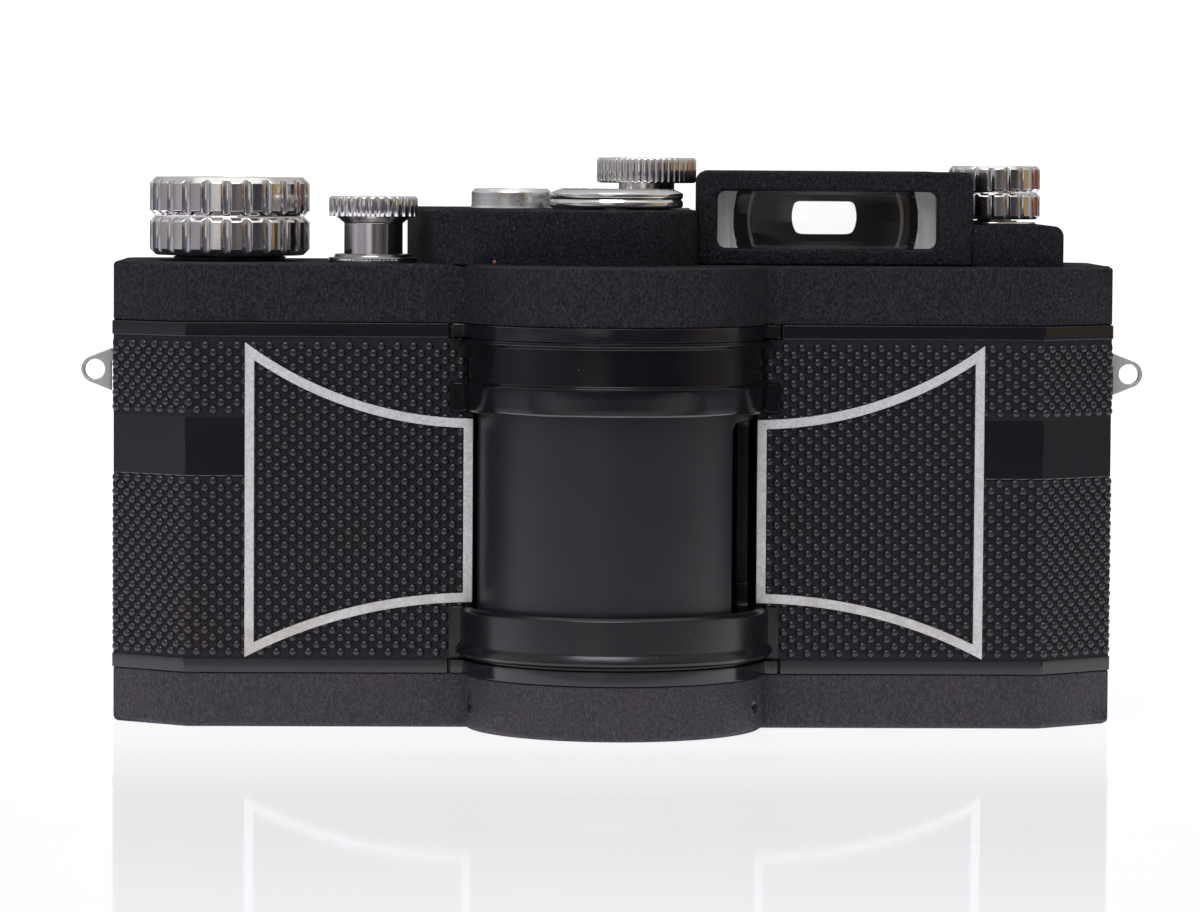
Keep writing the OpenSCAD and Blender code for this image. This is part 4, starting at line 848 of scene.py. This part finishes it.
# Flat runs of the covering: start, end and outward normal in plan, height of its domes and share of the full step
def makeGrain(name, node, runs, lowZ, highZ):
    skin = skinOf(node)
    spots, faces, looks = [], [], []

    def stamp(shape, middle, along, out, look):
        first = len(spots)
        spots.extend(middle + along * x + Vector((0, 0, 1)) * y + out * z for x, y, z in shape[0])
        faces.extend(tuple(first + v for v in face) for face in shape[1])
        looks.extend([look] * len(shape[1]))

    def onSkin(middle, along, reach):
        turns = [math.tau * k / grain["rim"] for k in range(grain["rim"])]
        rim = [middle + along * (reach * math.cos(t)) + Vector((0, 0, reach * math.sin(t))) for t in turns]
        return all(skin.find_nearest(p)[3] < grain["onSkin"] * mm for p in rim)

    rise = grain["up"] * mm
    column = 0
    for start, end, out, height, share in runs:
        start, end, out = Vector(start) * mm, Vector(end) * mm, Vector(out).normalized() * height
        along = (end - start).normalized()
        if along.cross(Vector((0, 0, 1))).dot(out) < 0:
            along = -along
        count = round((end - start).length / (grain["across"] / 2 * share * mm))
        for k in range(count):
            column += 1
            z = lowZ + (column % 2) * rise / 2
            while z < highZ:
                middle = start.lerp(end, (k + 0.5) / count) + Vector((0, 0, z))
                if onSkin(middle, along, grain["inside"] * mm):
                    stamp(domeShape, middle, along, out, 0)
                bead = middle + Vector((0, 0, rise / 2))
                if onSkin(bead, along, grain["beadInside"] * mm):
                    stamp(beadShape, bead, along, out, 1)
                z += rise
    mesh = bpy.data.meshes.new(name)
    mesh.from_pydata(spots, [], faces)
    piece = bpy.data.objects.new(name, mesh)
    scene.collection.objects.link(piece)
    pick(piece)
    bpy.ops.object.shade_smooth()
    dress(piece, grainLeather).data.materials.append(finishes["leatherette"])
    for face, look in zip(piece.data.polygons, looks):
        face.material_index = look
    return seat(piece, bodyOf[node], "leatherette")


# Corners of the covering in plan, in mm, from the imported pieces
skinLow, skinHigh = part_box("right_covering")
insideX, caseFront = skinLow.x / mm, skinLow.y / mm
caseEnd, sideBack = skinHigh.x / mm, skinHigh.y / mm
caseCorner = {"wide": 10.7, "deep": 7.4}


def sideRuns(side):
    edge, cornerY = caseEnd - caseCorner["wide"], caseFront + caseCorner["deep"]
    slope = (side * caseCorner["deep"], -caseCorner["wide"], 0)
    return [((side * insideX, caseFront, 0), (side * edge, caseFront, 0), (0, -1, 0), 1, 1),
            ((side * edge, caseFront, 0), (side * caseEnd, cornerY, 0), slope, 1, grain["cornerStep"]),
            ((side * caseEnd, cornerY, 0), (side * caseEnd, sideBack, 0), (side, 0, 0), grain["endHeight"], 1)]


firstRow = skinLow.z + grain["firstRow"] * mm
makeGrain("leftGrain", "left_covering", sideRuns(-1), firstRow, skinHigh.z)
makeGrain("rightGrain", "right_covering", sideRuns(1), firstRow, skinHigh.z)
backLow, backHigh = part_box("back_covering")
backRun = [(at / mm, backHigh.y / mm, 0) for at in (backLow.x, backHigh.x)]
makeGrain("backGrain", "back_covering", [(*backRun, (0, 1, 0), 1, 1)],
          backLow.z + grain["firstBackRow"] * mm, backHigh.z)
print("leatherette domes placed")


# Small parts that the CAD leaves out

turning = {"weld": 0.001, "angle": 35}


# A profile of radius and height in mm, spun about z; a profile that ends where it starts makes a ring
def turned(name, profile, steps=48):
    ring = profile[0] == profile[-1]
    points = profile[:-1] if ring else profile
    mesh = bpy.data.meshes.new(name)
    links = [(k, (k + 1) % len(points)) for k in range(len(profile) - 1)]
    mesh.from_pydata([(r * mm, 0, z * mm) for r, z in points], links, [])
    piece = bpy.data.objects.new(name, mesh)
    scene.collection.objects.link(piece)
    spun = piece.modifiers.new("spun", "SCREW")
    spun.steps = spun.render_steps = steps
    spun.use_merge_vertices = True
    spun.merge_threshold = turning["weld"] * mm
    applyAll(piece)
    bpy.ops.object.mode_set(mode="EDIT")
    bpy.ops.mesh.select_all(action="SELECT")
    bpy.ops.mesh.remove_doubles(threshold=turning["weld"] * mm)
    bpy.ops.mesh.normals_make_consistent(inside=False)
    bpy.ops.object.mode_set(mode="OBJECT")
    return smooth(piece, turning["angle"])


# Where a point of the photograph lies on a piece, and the way its face looks there
def seenAt(node, u, v):
    right, up, look = cameraAxes()
    across = (u - view["imageWidth"] / 2) / view["focalPx"]
    rise = (view["imageHeight"] / 2 - v) / view["focalPx"]
    place, normal, *_ = skinOf(node).ray_cast(Vector(view["place"]) * mm, look + right * across + up * rise)
    return place, normal


def standOn(piece, place, normal):
    piece.data.transform(Matrix.Translation(place) @ normal.to_track_quat("Z", "Y").to_matrix().to_4x4())
    return piece


def standAt(piece, place):  # a piece turned at its own height
    piece.data.transform(Matrix.Translation((place.x, place.y, 0)))
    return piece


plain = {"cloud": 1.2, "dark": 0.8}


def plainEnamel(name, colour, roughness=0.35):
    finish = Finish(name, specular=0.5)
    cloud = finish.noise(plain["cloud"], 3)
    finish.feed("colour", finish.blend(cloud, tinted(plain["dark"], colour), colour))
    finish.feed("roughness", roughness + cloud * 0.1)
    return finish.owner


shoulderScrew = {"left": (470.5, 704), "right": (753.5, 705), "forward": 0.12,
                 "slot": (3.0, 0.3, 0.4), "slotAt": (0, 0, 0.06),
                 "profile": [(0, 0.06), (1.0, 0.06), (1.07, 0.0), (1.09, -0.2), (1.24, -0.2), (1.27, 0.06),
                             (1.40, 0.09), (1.50, -0.02), (1.52, -0.7), (0, -0.7)]}
for side in ("left", "right"):
    screw = turned(side + "ShoulderScrew", shoulderScrew["profile"])
    cutBlock(screw, shoulderScrew["slot"], shoulderScrew["slotAt"])
    place, normal = seenAt("base_cover", *shoulderScrew[side])
    standOn(screw, place, (normal - Vector((0, shoulderScrew["forward"], 0))).normalized())
    seat(dress(smooth(screw, turning["angle"]), screwSteel), "camera", "steel")

# Grey of the painted reflection arcs in the finder window
paintedReflectionArcs = {"profile": [(11.1, 0), (11.5, 0), (11.5, 0.2), (11.1, 0.2), (11.1, 0)], "behind": 0.25, "inside": 0.05,
              "grey": (0.14, 0.135, 0.13)}


# Two thin grey arcs behind the finder lens, a ring cut off at the window's height: painted reflection, standing in for
# the inner walls mirrored in the finder window
def makePaintedReflectionArcs():
    low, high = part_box("finder_front_lens")
    middle = (low + high) / 2
    piece = turned("paintedReflectionArcs", paintedReflectionArcs["profile"], steps=96)
    piece.data.transform(Matrix.Translation((middle.x, high.y + paintedReflectionArcs["behind"] * mm, middle.z))
                         @ Matrix.Rotation(-math.pi / 2, 4, "X"))
    pick(piece)
    bpy.ops.object.mode_set(mode="EDIT")
    for edge, away in ((high.z, 1), (low.z, -1)):
        bpy.ops.mesh.select_all(action="SELECT")
        bpy.ops.mesh.bisect(plane_co=(0, 0, edge - away * paintedReflectionArcs["inside"] * mm), plane_no=(0, 0, away),
                            use_fill=True, clear_outer=True)
    bpy.ops.object.mode_set(mode="OBJECT")
    dress(smooth(piece, turning["angle"]), plainEnamel("paintedReflectionGrey", paintedReflectionArcs["grey"]))
    return seat(piece, "camera", "matt_black")


makePaintedReflectionArcs()

indexDot = {"seen": (494.5, 262.0), "red": (0.42, 0.07, 0.025),
            "profile": [(0, 0.10), (0.16, 0.08), (0.26, 0.03), (0.28, -0.2), (0, -0.2)]}
dot = standOn(turned("indexDot", indexDot["profile"], steps=24), *seenAt("dial_platform", *indexDot["seen"]))
seat(dress(dot, plainEnamel("redEnamel", indexDot["red"])), "camera", "satin_black")

releaseFlange = {"profile": [(4.5, 66.82), (6.5, 66.82), (6.5, 67.42), (6.38, 67.55), (5.75, 67.6), (5.65, 67.72),
                             (5.6, 67.98), (5.45, 68.06), (4.5, 68.06), (4.5, 66.82)]}
releaseLow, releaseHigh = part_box("release_base")
flange = standAt(turned("releaseFlange", releaseFlange["profile"], steps=64), (releaseLow + releaseHigh) / 2)
# the release flange wears the darkened metal, painted shade on chrome
seat(dress(flange, paintedShadeFlangeSteel), "camera", "chrome")

vialLow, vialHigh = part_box("level_vial")
vialMiddle, vialTop = (vialLow + vialHigh) / 2, vialHigh.z / mm
levelRing = {"inner": 1.62, "outer": 1.80, "sink": 0.12, "proud": 0.02}
inner, outer = levelRing["inner"], levelRing["outer"]
under, over = vialTop - levelRing["sink"], vialTop + levelRing["proud"]
ring = turned("levelRing", [(inner, under), (outer, under), (outer, over), (inner, over), (inner, under)])
seat(dress(standAt(ring, vialMiddle), finishes["matt_black"]), "camera", "matt_black")
levelCard = {"profile": [(0, 0.06), (4.3, 0.06), (4.35, 0.02), (0, 0.02)],
             "cream": (0.80, 0.82, 0.62), "roughness": 0.6}
card = turned("levelCard", [(r, vialLow.z / mm + z) for r, z in levelCard["profile"]])
cream = plainEnamel("paleCard", levelCard["cream"], levelCard["roughness"])
seat(dress(standAt(card, vialMiddle), cream), "camera", "level_liquid")
bubble = {"off": (0.25, 0.2, 0), "under": 0.08, "tint": (0.95, 0.97, 0.80), "roughness": 0.02, "ior": 1.06,
          "profile": [(0, 0.0), (0.6, -0.03), (1.0, -0.12), (1.22, -0.3), (1.0, -0.5), (0.5, -0.6), (0, -0.62)]}
air = turned("levelBubble", [(r, vialTop - bubble["under"] + z) for r, z in bubble["profile"]], steps=36)
standAt(air, vialMiddle + Vector(bubble["off"]) * mm)
clearAir = Finish("airBubble", colour=bubble["tint"], roughness=bubble["roughness"], clear=1.0, ior=bubble["ior"])
seat(dress(air, clearAir.owner), "camera", "level_liquid")

tripodThread = {"root": 3.18, "crest": 2.78, "pitch": 1.27, "from": 0.35, "turns": 4, "steps": 48,
                "ridge": (0.36, 0.5, 0.86)}  # start and end of its crest and its foot, as shares of the pitch


def makeThread():
    root, crest, pitch, start = [tripodThread[key] for key in ("root", "crest", "pitch", "from")]
    mesh = bpy.data.meshes.new("tripodThread")
    ridge = [(r * mm, 0, (start + share * pitch) * mm)
             for r, share in zip((root, crest, crest, root), (0, *tripodThread["ridge"]))]
    mesh.from_pydata(ridge, [(0, 1), (1, 2), (2, 3)], [])
    piece = bpy.data.objects.new("tripodThread", mesh)
    scene.collection.objects.link(piece)
    winding = piece.modifiers.new("winding", "SCREW")
    winding.steps = winding.render_steps = tripodThread["steps"]
    winding.screw_offset = pitch * mm
    winding.iterations = tripodThread["turns"]
    return seat(dress(smooth(applyAll(piece), turning["angle"]), finishes["brass"]), "camera", "brass")


makeThread()


# Ticks and figures on the dials

dials = {
    "counter_dial": {"figures": ["0", "5", "10", "15", "20", "25"], "span": 300, "ticks": 31,
                     "inner": 7.5, "outer": 8.6, "at": 6.1, "size": 2.0, "turn": 0},
    "aperture_disc": {"figures": ["2.8", "4", "5.6", "8", "11"], "span": 120, "ticks": 9,
                      "inner": 7.0, "outer": 8.1, "at": 5.6, "size": 1.7, "turn": 95},
    "speed_knob": {"figures": ["15", "125", "250"], "span": 120, "ticks": 3,
                   "inner": 5.0, "outer": 6.1, "at": 3.9, "size": 1.9, "turn": 0},
}
marking = {"rise": 0.04, "tickWidth": 0.16, "tickEase": 0.012, "curve": 4, "angle": 30}


def makeMarks(node):
    look = dials[node]
    low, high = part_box(node)
    strokes = []

    def turnTo(share):  # the middle of an unturned scale faces the user behind the camera
        return Matrix.Rotation(math.radians(look["turn"] + look["span"] * (0.5 - share)), 4, "Z")

    for k in range(look["ticks"]):
        bpy.ops.mesh.primitive_cube_add(size=1)
        tick = bpy.context.object
        size = Matrix.Diagonal((marking["tickWidth"], look["outer"] - look["inner"], marking["rise"], 1))
        outwards = Matrix.Translation((0, (look["inner"] + look["outer"]) / 2, 0))
        tick.data.transform(turnTo(k / (look["ticks"] - 1)) @ outwards @ size)
        strokes.append(easeEdges(tick, marking["tickEase"], segments=1))
    for k, figure in enumerate(look["figures"]):
        bpy.ops.object.text_add()
        words = bpy.context.object
        words.data.body = figure
        words.data.align_x = words.data.align_y = "CENTER"
        words.data.size = look["size"]
        words.data.resolution_u = marking["curve"]
        words.data.extrude = marking["rise"] / 2
        bpy.ops.object.convert(target="MESH")
        words = bpy.context.object
        outwards = Matrix.Translation((0, look["at"], 0)) @ Matrix.Rotation(math.pi, 4, "Z")
        words.data.transform(turnTo(k / (len(look["figures"]) - 1)) @ outwards)
        strokes.append(words)
    pick(strokes[0])
    for stroke in strokes:
        stroke.select_set(True)
    bpy.ops.object.join()
    piece = bpy.context.object
    piece.name = node.split("_")[0] + "Marks"
    middle = (low + high) / 2
    piece.data.transform(Matrix.Translation((middle.x, middle.y, high.z)) @ Matrix.Diagonal((mm, mm, mm, 1)))
    return seat(dress(smooth(piece, marking["angle"]), finishes["matt_black"]), bodyOf[node], "matt_black")


for node in dials:
    makeMarks(node)
nodes["front_lens"].data.materials[0] = clearGlass("coatedGlass", (0.86, 0.90, 1.0))
print("small parts and dial marks placed")
